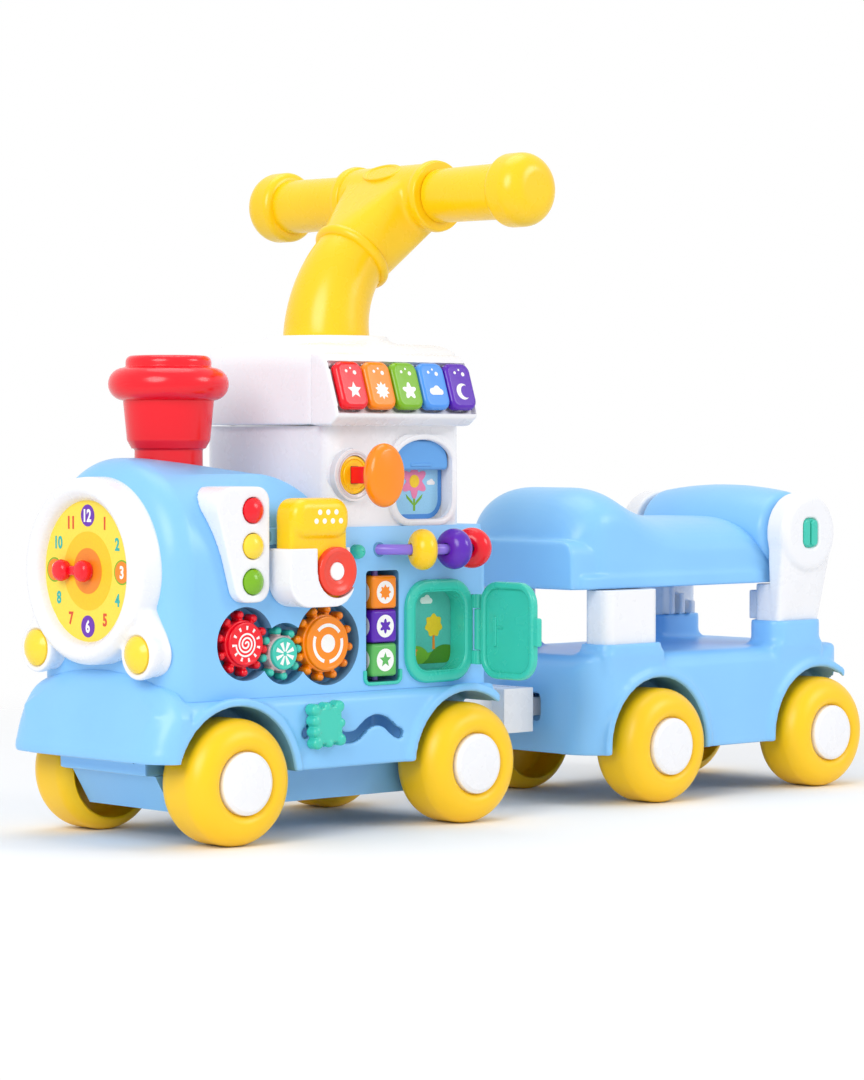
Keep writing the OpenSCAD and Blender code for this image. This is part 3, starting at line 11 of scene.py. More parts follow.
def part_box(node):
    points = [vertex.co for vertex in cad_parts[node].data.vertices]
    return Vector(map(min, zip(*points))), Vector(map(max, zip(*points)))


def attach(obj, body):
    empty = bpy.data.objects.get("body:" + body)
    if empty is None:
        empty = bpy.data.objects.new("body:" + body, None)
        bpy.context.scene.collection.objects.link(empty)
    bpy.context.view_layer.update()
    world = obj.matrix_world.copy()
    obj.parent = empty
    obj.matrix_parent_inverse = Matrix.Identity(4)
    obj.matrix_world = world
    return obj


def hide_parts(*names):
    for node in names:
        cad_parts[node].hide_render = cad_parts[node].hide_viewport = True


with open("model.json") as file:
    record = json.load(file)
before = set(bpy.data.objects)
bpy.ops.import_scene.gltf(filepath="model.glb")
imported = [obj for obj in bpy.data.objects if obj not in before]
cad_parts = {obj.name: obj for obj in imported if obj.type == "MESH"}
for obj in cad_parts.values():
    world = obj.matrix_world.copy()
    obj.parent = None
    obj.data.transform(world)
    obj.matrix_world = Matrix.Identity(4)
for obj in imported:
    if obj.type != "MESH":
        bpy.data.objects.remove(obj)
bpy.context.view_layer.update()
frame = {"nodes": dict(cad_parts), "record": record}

MM = 0.001
NODE_BODY = {n: b for b, ns in frame["record"]["behaviour"]["bodies"].items() for n in ns}


def middle(node):
    """The middle of a CAD node's box, to a tenth of a millimetre."""
    low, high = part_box(node)
    return [round(c / MM, 1) for c in (low + high) / 2]


# All sizes are millimetres; x runs back from the front axle, y across from the middle, z up from the floor
FRONT_AXLE, _, AXLE_Z = middle("loco_front_axle")
AXLES = {
    name: middle(name + "_axle")[0] - FRONT_AXLE
    for name in ("loco_front", "loco_rear", "wagon_front", "wagon_rear")
}
LOCO_AXLES = (AXLES["loco_front"], AXLES["loco_rear"])
WAGON_AXLES = (AXLES["wagon_front"], AXLES["wagon_rear"])
SIDE_Y, SKIRT_Y, CAB_Y = 76.0, 83.0, 70.0  # half the width of shell, skirt and cab
FRONT_X = -49.0  # flat front of the shell, behind the clock
SIDES = (-1, 1)


# Places: each turns a piece's own millimetres (right, up, out) into metres on the train

def place(origin, right, up, out):
    x, y, z = origin
    turn = Matrix((right, up, out)).transposed().to_4x4()
    return Matrix.Translation(((x + FRONT_AXLE) * MM, y * MM, z * MM)) @ turn @ Matrix.Scale(MM, 4)


def near_side(x, z, y=SIDE_Y):
    return place((x, -y, z), (1, 0, 0), (0, 0, 1), (0, -1, 0))


def clock_face(y, z):
    return place((FRONT_X, y, z), (0, -1, 0), (0, 0, 1), (-1, 0, 0))


def upright(x, y, z):
    return place((x, y, z), (1, 0, 0), (0, 1, 0), (0, 0, 1))


def across(x, z, side=1):
    return place((x, 0, z), (-side, 0, 0), (0, 0, 1), (0, side, 0))


def shifted(where, right, up=0.0):
    return where @ Matrix.Translation((right, up, 0))


def turned(where, degrees, axis="Z"):
    return where @ Matrix.Rotation(math.radians(degrees), 4, axis)


TRAIN = upright(0, 0, 0)


# Materials

SHEEN_MM = 14.0  # width of the patches that handling leaves duller or shinier
PEEL_DEPTH_MM = 0.1


def linear(hex_colour):
    parts = [int(hex_colour[i:i + 2], 16) / 255 for i in (1, 3, 5)]
    return (*(c / 12.92 if c <= 0.04045 else ((c + 0.055) / 1.055) ** 2.4 for c in parts), 1.0)


def add_node(tree, kind, links=(), **settings):
    """Adds a node, sets its properties or sockets by name, and links (socket, source) pairs into it."""
    made = tree.nodes.new(kind)
    for key, value in settings.items():
        if hasattr(made, key):
            setattr(made, key, value)
        else:
            made.inputs[key.replace("_", " ")].default_value = value
    for socket, source in links:
        tree.links.new(source, made.inputs[socket])
    return made


def moulded_plastic(name, colour, roughness, grain_mm=0.8, grain=0.04, cloud_mm=45, shift=0.03):
    """Plastic from a mould: even colour with faint flow clouds, a handled sheen and a fine orange peel."""
    made = bpy.data.materials.new(name)
    made.use_nodes = True
    tree = made.node_tree
    shader = tree.nodes["Principled BSDF"]
    spot = add_node(tree, "ShaderNodeTexCoord").outputs["Object"]

    clouds = add_node(tree, "ShaderNodeTexNoise", [("Vector", spot)], Scale=1 / (cloud_mm * MM), Detail=2.0)
    tint = add_node(tree, "ShaderNodeValToRGB", [("Fac", clouds.outputs["Fac"])])
    base = linear(colour)[:3]
    deep, pale = tint.color_ramp.elements
    deep.position, pale.position = 0.3, 0.7
    deep.color = (*(c * (1 - shift) for c in base), 1.0)
    pale.color = (*(c + shift * (1 - c) * c for c in base), 1.0)
    tree.links.new(tint.outputs["Color"], shader.inputs["Base Color"])

    sheen = add_node(tree, "ShaderNodeTexNoise", [("Vector", spot)], Scale=1 / (SHEEN_MM * MM), Detail=3.0)
    rough = add_node(tree, "ShaderNodeMapRange", [("Value", sheen.outputs["Fac"])],
                     To_Min=roughness * 0.85, To_Max=roughness * 1.2)
    tree.links.new(rough.outputs["Result"], shader.inputs["Roughness"])

    peel = add_node(tree, "ShaderNodeTexNoise", [("Vector", spot)], Scale=1 / (grain_mm * MM), Detail=1.0)
    bump = add_node(tree, "ShaderNodeBump", [("Height", peel.outputs["Fac"])],
                    Strength=grain, Distance=PEEL_DEPTH_MM * MM)
    tree.links.new(bump.outputs["Normal"], shader.inputs["Normal"])
    return made


def screen_print(name, colour):
    """Screen-printed ink: flat and satin, with its mesh's mottle drawn coarse enough to show."""
    return moulded_plastic(name, colour, 0.42, grain_mm=0.5, grain=0.08, cloud_mm=1.2, shift=0.06)


# Moulded polypropylene has a satin skin, so highlights spread softly over the big blue shells
BLUE = moulded_plastic("polypropylene_moulded_sky_blue", "#88c8fb", 0.33)
# Painted shade: a darker blue laid inside wheel wells, bays, slots and rod holes and under the underframe,
# where the same sky-blue plastic lies in shade
PAINTED_SHADE_BLUE = moulded_plastic("painted_shade_darker_sky_blue", "#5f9ac6", 0.5)

# Moulded ABS is glossier, so the white pieces and the small toys show tight, bright highlights
WHITE = moulded_plastic("abs_moulded_white", "#f1f1f4", 0.27, grain=0.02, shift=0.005)
LAMP = moulded_plastic("abs_moulded_lamp_yellow", "#ffdb3a", 0.2)
RED = moulded_plastic("abs_moulded_red", "#f2061f", 0.2)
DIAL_RED = moulded_plastic("abs_moulded_coral_red", "#f0402c", 0.24)
ORANGE = moulded_plastic("abs_moulded_orange", "#fd8b04", 0.2)
PURPLE = moulded_plastic("abs_moulded_purple", "#5a1bb4", 0.2)
LAVENDER = moulded_plastic("abs_moulded_lavender", "#8f74e0", 0.24)
GREEN = moulded_plastic("abs_moulded_green", "#79b50f", 0.2)
LEAF = moulded_plastic("abs_moulded_leaf_green", "#5db85c", 0.24)
KEY_BLUE = moulded_plastic("abs_moulded_key_blue", "#4a96ee", 0.2)
BLIND_BLUE = moulded_plastic("abs_moulded_blind_blue", "#5fa3e6", 0.3)
TEAL = moulded_plastic("abs_moulded_teal", "#3cc8b2", 0.26)
DARK = moulded_plastic("abs_moulded_charcoal", "#2c2e33", 0.5)

# Blown polyethylene gives the handle a waxy gloss; foamed EVA gives the tyres a duller, coarser skin
YELLOW = moulded_plastic("polyethylene_blown_yellow", "#ffd00c", 0.27)
TYRE = moulded_plastic("eva_moulded_yellow_tyre", "#ffcb08", 0.36, grain_mm=1.1, grain=0.07)

# Moulded polycarbonate has the smoothest skin, and catches sharp glints
FROST = moulded_plastic("polycarbonate_moulded_frosted", "#d6d7dc", 0.14)
BLUSH = moulded_plastic("polycarbonate_moulded_blush", "#cdb3b4", 0.16)

# Drawn steel wire mirrors what is round it, in grey
STEEL = moulded_plastic("drawn_wire_spring_steel", "#b8bcc2", 0.3)
STEEL.node_tree.nodes["Principled BSDF"].inputs["Metallic"].default_value = 1.0

# Inks lie flat on film or plastic, and look duller than what they are printed on
DIAL = screen_print("printed_film_dial_yellow", "#ffe04a")
DIAL_MID = screen_print("printed_film_amber", "#ffc91a")
INK_WHITE = screen_print("screen_print_white", "#fbf9f6")
INK_ORANGE = screen_print("screen_print_orange", "#f48a1d")
INK_PURPLE = screen_print("screen_print_purple", "#6a2bb0")
INK_GREEN = screen_print("screen_print_green", "#79b51e")
INK_MOSS = screen_print("screen_print_moss_green", "#4f8a16")
INK_RED = screen_print("screen_print_vermilion", "#e0502a")
INK_TEAL = screen_print("screen_print_teal", "#2fb5ac")
INK_SKY = screen_print("screen_print_sky", "#9ad4f5")
INK_LAGOON = screen_print("screen_print_lagoon", "#58c2b4")
INK_BLUE = screen_print("screen_print_blue", "#4f94df")
INK_PINK = screen_print("screen_print_pink", "#f284ae")
INK_SUN = screen_print("screen_print_sun_yellow", "#fbd01e")


# Outlines, in the millimetres of a piece's own place

def polar(radius, degrees, centre=(0, 0)):
    a = math.radians(degrees)
    return centre[0] + radius * math.cos(a), centre[1] + radius * math.sin(a)


def arc(centre, radius, start, end, steps=8):
    """Points along an arc, between two angles in degrees."""
    return [polar(radius, start + (end - start) * i / steps, centre) for i in range(steps + 1)]


def box_outline(width, height, radius, centre=(0, 0)):
    corners = ((-1, -1), (1, -1), (1, 1), (-1, 1))
    return [(centre[0] + u * width / 2, centre[1] + v * height / 2, radius) for u, v in corners]


def star(points, outer, inner):
    return [polar(reach, 90 + 180 * i / points) for i, reach in enumerate((outer, inner) * points)]


def petals(count, radius, depth=0.22):
    waves = [(a, 1 - depth + depth * math.cos(count * math.radians(a))) for a in range(0, 360, 6)]
    return [polar(radius * wave, 90 + a) for a, wave in waves]


def crescent(radius):
    return arc((0, 0), radius, 50, 310, 20) + arc((radius * 0.45, 0), radius * 0.78, 285, 75, 16)


def cloud(width):
    puffs = arc((3.2, -0.4), 1.6, -80, 80) + arc((0.6, 1.1), 2.2, 15, 150) + arc((-3, -0.1), 1.9, 85, 265)
    return [(u * width / 10, v * width / 10) for u, v in [(-3.2, -2), (3.4, -2)] + puffs]


def dome(radius, low, high, rise):
    """Outline of a button: a straight wall from low to high, then a dome of the given rise."""
    ball = (radius * radius + rise * rise) / (2 * rise)
    spread = math.degrees(math.asin(radius / ball))
    return [(0, low), (radius, low)] + arc((0, high + rise - ball), ball, 90 - spread, 90)


# Mesh helpers

def only(kind, geometry):
    return [part for part in geometry if isinstance(part, kind)]


def rounded(bm, line, outline):
    """Rounds the corners of a wire or a flat face where the outline's points carry a fillet."""
    for corner, point in zip(line, outline):
        if len(point) > 2 and point[2]:
            arms = [edge.other_vert(corner).co - corner.co for edge in corner.link_edges]
            reach = point[2] * math.tan((math.pi - arms[0].angle(arms[1])) / 2)
            bmesh.ops.bevel(
                bm, geom=[corner], offset=reach, offset_type="OFFSET", segments=6, profile=0.5,
                affect="VERTICES", material=-1,
            )


def round_edges(bm, edges, radius, segments=4):
    bmesh.ops.bevel(
        bm, geom=edges, offset=radius, offset_type="OFFSET", segments=segments, profile=0.5,
        affect="EDGES", material=-1, clamp_overlap=True,
    )


def lathe(outline, steps=72, closed=False):
    """Turns an outline of (radius, height, fillet) points about the out axis."""
    bm = bmesh.new()
    line = [bm.verts.new((point[0], 0.0, point[1])) for point in outline]
    for pair in zip(line, line[1:] + line[:1] if closed else line[1:]):
        bm.edges.new(pair)
    rounded(bm, line, outline)
    bmesh.ops.spin(
        bm, geom=bm.verts[:] + bm.edges[:], cent=(0, 0, 0), axis=(0, 0, 1), angle=math.tau, steps=steps,
        use_merge=True,
    )
    bmesh.ops.remove_doubles(bm, verts=bm.verts, dist=1e-4)
    bmesh.ops.recalc_face_normals(bm, faces=bm.faces)
    return bm


def disc(radius, low, high, steps=72):
    return lathe([(0, low), (radius, low), (radius, high), (0, high)], steps)


def raise_faces(bm, height):
    """Extrudes every flat face of a mesh upwards into one closed solid."""
    made = bmesh.ops.extrude_face_region(bm, geom=bm.faces[:])["geom"]
    bmesh.ops.translate(bm, verts=only(bmesh.types.BMVert, made), vec=(0, 0, height))
    bmesh.ops.recalc_face_normals(bm, faces=bm.faces)


def edges_at(bm, level):
    return [
        e for e in bm.edges
        if all(abs(v.co.z - level) < 1e-5 for v in e.verts) and e.calc_face_angle(0) > 0.5
    ]


def slab(outline, low, high, rim=0.0, foot=0.0, wall=0.0):
    """Raises a flat outline of (right, up, fillet) points from low to high; a wall makes it an open frame."""
    bm = bmesh.new()
    line = [bm.verts.new((point[0], point[1], low)) for point in outline]
    bm.faces.new(line)
    rounded(bm, line, outline)
    if wall:
        inside = bm.faces[:]
        bmesh.ops.inset_region(bm, faces=inside, thickness=wall, use_boundary=True, use_even_offset=True)
        bmesh.ops.delete(bm, geom=inside, context="FACES")
    raise_faces(bm, high - low)
    for level, radius in ((high, rim), (low, foot)):
        if radius:
            round_edges(bm, edges_at(bm, level), radius)
    return bm


def band(inner, outer, start, end, low, high):
    """A flat arc-shaped strip of print, between two angles in degrees."""
    bm = bmesh.new()
    bm.edges.new([bm.verts.new((*polar(radius, start), low)) for radius in (inner, outer)])
    bmesh.ops.spin(
        bm, geom=bm.verts[:] + bm.edges[:], cent=(0, 0, low), axis=(0, 0, 1),
        angle=math.radians(end - start), steps=max(4, int(abs(end - start) / 8)), use_merge=False,
    )
    raise_faces(bm, high - low)
    return bm


def hull(rings, steps=32):
    """A taut skin over rings, each given as (centre, axis, radius)."""
    bm = bmesh.new()
    for centre, axis, radius in rings:
        turn = Vector((0, 0, 1)).rotation_difference(Vector(axis)).to_matrix().to_4x4()
        bmesh.ops.create_circle(bm, segments=steps, radius=radius, matrix=Matrix.Translation(centre) @ turn)
    made = bmesh.ops.convex_hull(bm, input=bm.verts)
    spare = dict.fromkeys(only(bmesh.types.BMVert, made["geom_interior"] + made["geom_unused"]))
    bmesh.ops.delete(bm, geom=list(spare), context="VERTS")
    bmesh.ops.recalc_face_normals(bm, faces=bm.faces)
    return bm


def closed_ring(bm, points):
    """A closed loop through points, given back as (edges, vertices)."""
    ring = [bm.verts.new(point) for point in points]
    return [bm.edges.new(pair) for pair in zip(ring, ring[1:] + ring[:1])], ring


def loft(bm, sections):
    """Skins a row of closed rings and closes both ends."""
    for (edges, _), (nexts, _) in zip(sections, sections[1:]):
        bmesh.ops.bridge_loops(bm, edges=edges + nexts)
    for _, ring in (sections[0], sections[-1]):
        bm.faces.new(ring)
    bmesh.ops.recalc_face_normals(bm, faces=bm.faces)


def extruded(bm, rim):
    """Extrudes a rim in place, and gives the new rim's edges and vertices."""
    made = bmesh.ops.extrude_edge_only(bm, edges=rim)["geom"]
    return only(bmesh.types.BMEdge, made), only(bmesh.types.BMVert, made)


def cut_off(bm, geometry, point, normal):
    """Cuts away what lies beyond a plane, and fills the new rims that close on themselves."""
    cut = bmesh.ops.bisect_plane(bm, geom=geometry, plane_co=point, plane_no=normal, clear_outer=True)
    bmesh.ops.holes_fill(bm, edges=only(bmesh.types.BMEdge, cut["geom_cut"]), sides=0)


def linked(name, data):
    made = bpy.data.objects.new(name, data)
    bpy.context.scene.collection.objects.link(made)
    return made


def taken_mesh(scratch):
    """Turns a scratch object and its modifiers into a bmesh, and removes the object."""
    shape = bpy.data.meshes.new_from_object(scratch.evaluated_get(bpy.context.evaluated_depsgraph_get()))
    bm = bmesh.new()
    bm.from_mesh(shape)
    bpy.data.objects.remove(scratch)
    bpy.data.meshes.remove(shape)
    return bm


def numeral(text, height, low, high):
    """A bold, narrow printed number, centred on its place."""
    curve = bpy.data.curves.new("numeral", "FONT")
    curve.body, curve.offset, curve.resolution_u = text, 0.035, 4
    bm = taken_mesh(linked("numeral", curve))
    bpy.data.curves.remove(curve)
    bmesh.ops.remove_doubles(bm, verts=bm.verts, dist=1e-4)
    spread = [[f(v.co[i] for v in bm.verts) for f in (min, max)] for i in (0, 1)]
    scale = height / (spread[1][1] - spread[1][0])
    bmesh.ops.translate(bm, verts=bm.verts, vec=(-sum(spread[0]) / 2, -sum(spread[1]) / 2, 0))
    bmesh.ops.scale(bm, verts=bm.verts, vec=(scale * 0.84, scale, 1))
    bmesh.ops.translate(bm, verts=bm.verts, vec=(0, 0, low))
    raise_faces(bm, high - low)
    return bm


def add(piece, lump, where, paint=0):
    """Moves a lump to its place on the train and joins it to a piece, in one of the piece's materials."""
    for face in lump.faces:
        face.material_index = paint
    lump.transform(where)
    carrier = bpy.data.meshes.new("lump")
    lump.to_mesh(carrier)
    lump.free()
    piece.from_mesh(carrier)
    bpy.data.meshes.remove(carrier)


def cad_copy(node, edge_mm=0.0):
    """A merged copy of a CAD node; its sharp edges get a mould radius, where one is given."""
    bm = bmesh.new()
    bm.from_mesh(frame["nodes"][node].data)
    for face in bm.faces:
        face.material_index = 0
    bmesh.ops.remove_doubles(bm, verts=bm.verts, dist=2e-6)
    if edge_mm:
        bmesh.ops.dissolve_limit(bm, angle_limit=math.radians(0.6), verts=bm.verts, edges=bm.edges)
        sharp = [e for e in bm.edges if e.calc_face_angle(0) > math.radians(32)]
        round_edges(bm, sharp, edge_mm * MM, segments=3)
    return bm


def one_skin(bm, voxel_mm, rounds):
    """Fuses lumps into one skin and eases every corner, as a moulded or blown wall runs round its edges."""
    lumps = bpy.data.meshes.new("lumps")
    bm.to_mesh(lumps)
    bm.free()
    rough = linked("lumps", lumps)
    fuse = rough.modifiers.new("fuse", "REMESH")
    fuse.mode, fuse.voxel_size = "VOXEL", voxel_mm * MM
    ease = rough.modifiers.new("ease", "SMOOTH")
    ease.factor, ease.iterations = 0.5, rounds
    made = taken_mesh(rough)
    bpy.data.meshes.remove(lumps)
    return made


def painted(bm, paint, inside):
    """Gives a material to the faces whose middle, in millimetres on the train, passes a test."""
    for face in bm.faces:
        spot = face.calc_center_median() / MM
        if inside(spot.x - FRONT_AXLE, spot.y, spot.z):
            face.material_index = paint
    return bm


def finished(name, bm, mats, body=None, slot=None, sharp=42):
    """Turns a bmesh, in metres on the train, into a piece; it replaces the CAD node of that name, if any."""
    mesh = bpy.data.meshes.new(name + "_piece")
    for face in bm.faces:
        face.smooth = True
    bm.to_mesh(mesh)
    bm.free()
    mesh.set_sharp_from_angle(angle=math.radians(sharp))
    for mat in mats:
        mesh.materials.append(mat)
    made = linked(name + "_piece", mesh)
    even = made.modifiers.new("even_normals", "WEIGHTED_NORMAL")
    even.keep_sharp = True
    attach(made, body or NODE_BODY[name])
    if name in NODE_BODY:
        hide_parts(name)


def lathed_piece(name, outline, mat, places, steps=72, closed=False, **fields):
    """A piece of one turned shape, at one place or more."""
    piece = bmesh.new()
    for where in places:
        add(piece, lathe(outline, steps, closed), where)
    finished(name, piece, [mat], **fields)


# Locomotive body

MOULD_R = 1.2  # mould radius on the edges of the big shells
RECESS_Y = 0.6 - SIDE_Y  # just inside the flat near side
WELL_R, WELL_Y = 52.5, 47.0  # just outside the wheel wells' radius, and just inside their inner walls
APRON_Y = 86.0  # half the apron's width
APRON_X, APRON_REACH = -46.0, 23.4  # where the apron starts at its ends, and how far its middle stands out
LIP_Z, BROW_Z, APRON_Z = 58.0, 66.0, 117.5  # the apron's lower edge, its fullest level and its top


def in_wheel_well(x, y, z, axles, half):
    return WELL_Y < abs(y) < half and any(math.hypot(x - a, z - AXLE_Z) < WELL_R for a in axles)


def apron_section(bm, y):
    """One side view of the apron: a lip below, then a full round brow that leans back to the clock."""
    share = abs(y) / APRON_Y
    front = APRON_X - APRON_REACH * (1 - share ** 9) ** 0.4
    top = APRON_Z - 16.0 * share ** 2 - 14.0 * share ** 12
    lean = [(u ** 1.5, v ** 1.5) for u, v in arc((0, 0), 1, 0, 89.9, 14)]
    brow = [(FRONT_X + (front + 1.2 - FRONT_X) * u, BROW_Z + (top - BROW_Z) * v) for u, v in lean]
    lip = [(FRONT_X - 2.5, LIP_Z), (front + 1.2, LIP_Z), (front, LIP_Z + 1.2), (front, BROW_Z - 0.6)]
    return closed_ring(bm, [(x, y, z) for x, z in lip + brow + [(FRONT_X + 9, top)]])


def make_apron():
    apron = bmesh.new()
    # Sections stand closer together towards the rounded ends
    reach = [polar(APRON_Y * 0.999, a)[1] for a in range(-90, 91, 6)]
    loft(apron, [apron_section(apron, y) for y in reach])
    return apron


def level_arch_ends(skirt):
    """Ends the arch rims level with the apron's lip."""
    middles = [(face, face.calc_center_median() / MM) for face in skirt.faces]
    legs = [face for face, spot in middles if spot.x - FRONT_AXLE < -36 and abs(spot.y) > 60]
    parts = dict.fromkeys(part for face in legs for part in (*face.verts, *face.edges, face))
    cut_off(skirt, list(parts), (0, 0, (LIP_Z + 0.5) * MM), (0, 0, -1))


def make_shell():
    shell = cad_copy("loco_shell", MOULD_R)
    # The gear bay and the block slot get painted shade: a darker blue inside, where shade falls
    painted(shell, 1, lambda x, y, z: RECESS_Y < y < -60 and -15 < x < 118.5 and 98.5 < z < 168)
    painted(shell, 1, lambda x, y, z: RECESS_Y < y < -50 and 122 < x < 153 and 103 < z < 182)
    switch = near_side(36.5, 207.0)
    add(shell, slab(box_outline(13, 11.5, 1.6), -3, 0.9, rim=0.6), switch)
    # The switch's recess is a darker patch of painted shade
    add(shell, slab(box_outline(4.2, 7.4, 2.0, (-3, 0)), 0.5, 1.05), switch, 1)
    # Darker rings of painted shade round the holes where the bead rod enters the shell
    for x in (134.8, 225.2):
        eye = [(3.9, -1), (5.2, -1), (5.2, 0.35, 0.3), (3.9, 0.2)]
        add(shell, lathe(eye, closed=True), near_side(x, ROD_CENTRE[2]), 1)
    finished("loco_shell", shell, [BLUE, PAINTED_SHADE_BLUE])


def make_skirt():
    skirt = cad_copy("loco_skirt")
    add(skirt, make_apron(), TRAIN)
    skirt = one_skin(skirt, 1.5, 9)
    level_arch_ends(skirt)
    # The wheel wells get painted shade: a darker blue inside
    painted(skirt, 1, lambda x, y, z: in_wheel_well(x, y, z, LOCO_AXLES, SKIRT_Y + 0.6))
    # The slider's slot gets painted shade: a darker blue inside, where shade falls
    painted(skirt, 1, lambda x, y, z: -81.9 < y < -70 and 55 < x < 155 and 60 < z < 86)
    finished("loco_skirt", skirt, [BLUE, PAINTED_SHADE_BLUE])


def make_underside():
    # Below 34 mm the underframe gets painted shade: a darker blue underneath
    underframe = painted(cad_copy("loco_underframe", MOULD_R), 1, lambda x, y, z: z < 34)
    finished("loco_underframe", underframe, [BLUE, PAINTED_SHADE_BLUE])
    finished("battery_cover", cad_copy("battery_cover", 0.6), [BLUE])
    finished("coupler", one_skin(cad_copy("coupler"), 1.0, 5), [WHITE])
    for name in ("battery_box", "sound_module"):
        finished(name, cad_copy(name, 0.4), [DARK])
    finished("chimney_spring", cad_copy("chimney_spring"), [STEEL])


# Wheels

AXLE_R, AXLE_HALF = 4.0, 90.0
TYRE_OUTLINE = [
    (4.1, 52), (12, 52, 1), (12, 75.5, 2), (34, 75.5, 2), (34, 51, 0.8), (35.5, 50.3),
    *arc((31, 62), 12, -68, 0), *arc((28, 80), 15, 0, 90, 12), *arc((28, 88), 7, 90, 148),
    (21.9, 90.6), (4.1, 90.6),
]
CAP_OUTLINE = [(0, 88), (21.3, 88), (21.3, 95.2, 1.4), (18.5, 97, 1.2), (10, 97.7), (0, 97.9)]


def make_wheels():
    for name, x in AXLES.items():
        ends = [across(x, AXLE_Z, side) for side in SIDES]
        lathed_piece(name + "_tyres", TYRE_OUTLINE, TYRE, ends, 96, closed=True)
        axle = bmesh.new()
        for end in ends:
            add(axle, lathe(CAP_OUTLINE), end)
        add(axle, disc(AXLE_R, -AXLE_HALF, AXLE_HALF, 24), across(x, AXLE_Z))
        finished(name + "_axle", axle, [WHITE])


# Clock with its headlamps

CLOCK_Z = 184.0
CLOCK = clock_face(0, CLOCK_Z)
LAMP_Y, LAMP_Z = 56.0, 130.0
HOURS_R, HOUR_H = 37.4, 8.8  # the ring on which the numbers stand, and their height
DIAL_BACK, HAND_BACK = 11.0, 12.5  # where the dial's prints and the hand start
BEZEL_OUTLINE = [
    (47.6, -4), (47.6, 12.4, 0.5), (49.6, 17, 2.5), (54, 20.9, 4), (58.5, 20.9, 4), (63.4, 15, 6), (63.5, -4),
]
EAR_OUTLINE = [
    (0, -14), (8, -14), (12, -5, 6), (16, 5, 5), (17, 10, 2), (17, 15, 2), (13.4, 15, 0.6),
    (12.8, 11.6), (0, 11.6),
]
KNOB_OUTLINE = [
    (0, HAND_BACK), (7.2, HAND_BACK, 0.6), (6.2, 13.6, 0.6), (5.9, 14.8, 0.6),
    *arc((3.2, 16.4), 4.3, -40, 90), (0, 20.8),
]


def make_bezel():
    bezel = bmesh.new()
    add(bezel, lathe(BEZEL_OUTLINE, 120, closed=True), CLOCK)
    for side in SIDES:
        add(bezel, lathe(EAR_OUTLINE), clock_face(side * LAMP_Y, LAMP_Z))
        neck = [((side * LAMP_Y, LAMP_Z - CLOCK_Z), 15.5), ((side * 43, -36), 9), ((side * 52, -26), 7)]
        add(bezel, hull([((u, v, w), (0, 0, 1), r) for (u, v), r in neck for w in (-4, 12)]), CLOCK)
    finished("clock_bezel", one_skin(bezel, 0.9, 18), [WHITE])


def make_headlamps():
    ears = [clock_face(side * LAMP_Y, LAMP_Z) for side in SIDES]
    lathed_piece("headlamps", dome(12.3, 9, 14.8, 5.5), LAMP, ears)


def make_dial():
    mats = [DIAL, DIAL_MID, INK_ORANGE, INK_PURPLE, INK_GREEN, INK_WHITE, INK_RED, INK_TEAL]
    paint = {mat: i for i, mat in enumerate(mats)}
    badges = {12: INK_PURPLE, 6: INK_PURPLE, 3: INK_ORANGE, 9: INK_ORANGE}
    dial = bmesh.new()
    add(dial, disc(48.4, 4, 11.8, 96), CLOCK)
    add(dial, disc(26.6, DIAL_BACK, 11.95, 96), CLOCK, paint[DIAL_MID])
    add(dial, disc(15.5, DIAL_BACK, 12.1, 64), CLOCK, paint[INK_ORANGE])
    for hour in range(1, 13):
        spot = shifted(CLOCK, *polar(HOURS_R, 90 - 30 * hour))
        if hour in badges:
            if badges[hour] == INK_ORANGE:
                add(dial, disc(8.4, DIAL_BACK, 11.92), spot, paint[INK_GREEN])
            add(dial, disc(7.4, DIAL_BACK, 12.0), spot, paint[badges[hour]])
            add(dial, numeral(str(hour), HOUR_H, 11.5, 12.15), spot, paint[INK_WHITE])
        else:
            ink = INK_RED if hour in (1, 5, 7, 11) else INK_TEAL
            add(dial, numeral(str(hour), HOUR_H, 11.4, 12.0), spot, paint[ink])
    finished("clock_dial", dial, mats, sharp=30)


def make_hand():
    length = 24
    hand = bmesh.new()
    add(hand, lathe(KNOB_OUTLINE), CLOCK)
    add(hand, lathe(KNOB_OUTLINE), shifted(CLOCK, -length))
    add(hand, slab(box_outline(length, 6.4, 0, (-length / 2, 0)), HAND_BACK, 16.4, rim=1.6), CLOCK)
    add(hand, disc(2.4, 4, 13, 32), CLOCK)
    finished("clock_hand", hand, [RED])


# Chimney

CHIMNEY_X = 8.6
CHIMNEY_OUTLINE = [
    (0, 262), (19, 262, 1), (19, 237), (23.4, 237, 0.5), (23.4, 266, 1.5), (25.5, 266.4, 0.6),
    (28.6, 272, 3.5), (31, 297, 1.5), (31.2, 299.5, 1), *arc((30, 310.5), 11.4, -84, 84, 14),
    (29.4, 322.4, 1), (29.4, 330, 4.5), (0, 330),
]


def make_chimney():
    lathed_piece("chimney", CHIMNEY_OUTLINE, RED, [upright(CHIMNEY_X, 0, 0)], 96)


# Handle: a tapered bent stem, a lip, a web up to the sleeve, and two grips

STEM_X, STEM_Z, BEND_R, STEM_SUNK = 152.0, 346.0, 80.0, 2.0
BAR_X, BAR_Z = 220.0, 447.1
LEAN = Vector((math.sqrt(0.5), 0, math.sqrt(0.5)))
LIP_OUTLINE = arc((26.0, 0), 4.2, 0, 345, 23)
COLLAR_OUTLINE = [(18, 37), (22.6, 37), (25.2, 38.2, 1.5), (25.9, 42, 2), (25.2, 45.8, 1.5), (18, 45.8)]
GRIP_OUTLINE = [
    (0, 30), (14.9, 30), (14.9, 46.3), (19.2, 46.3, 0.8), (19.9, 116),
    *arc((20.5, 121.5), 5.5, -90, 0), *arc((11, 131), 15, 0, 90, 12), (0, 146),
]
BADGE_OUT, BADGE_R = Vector((-0.62, 0, 0.785)), 23.3


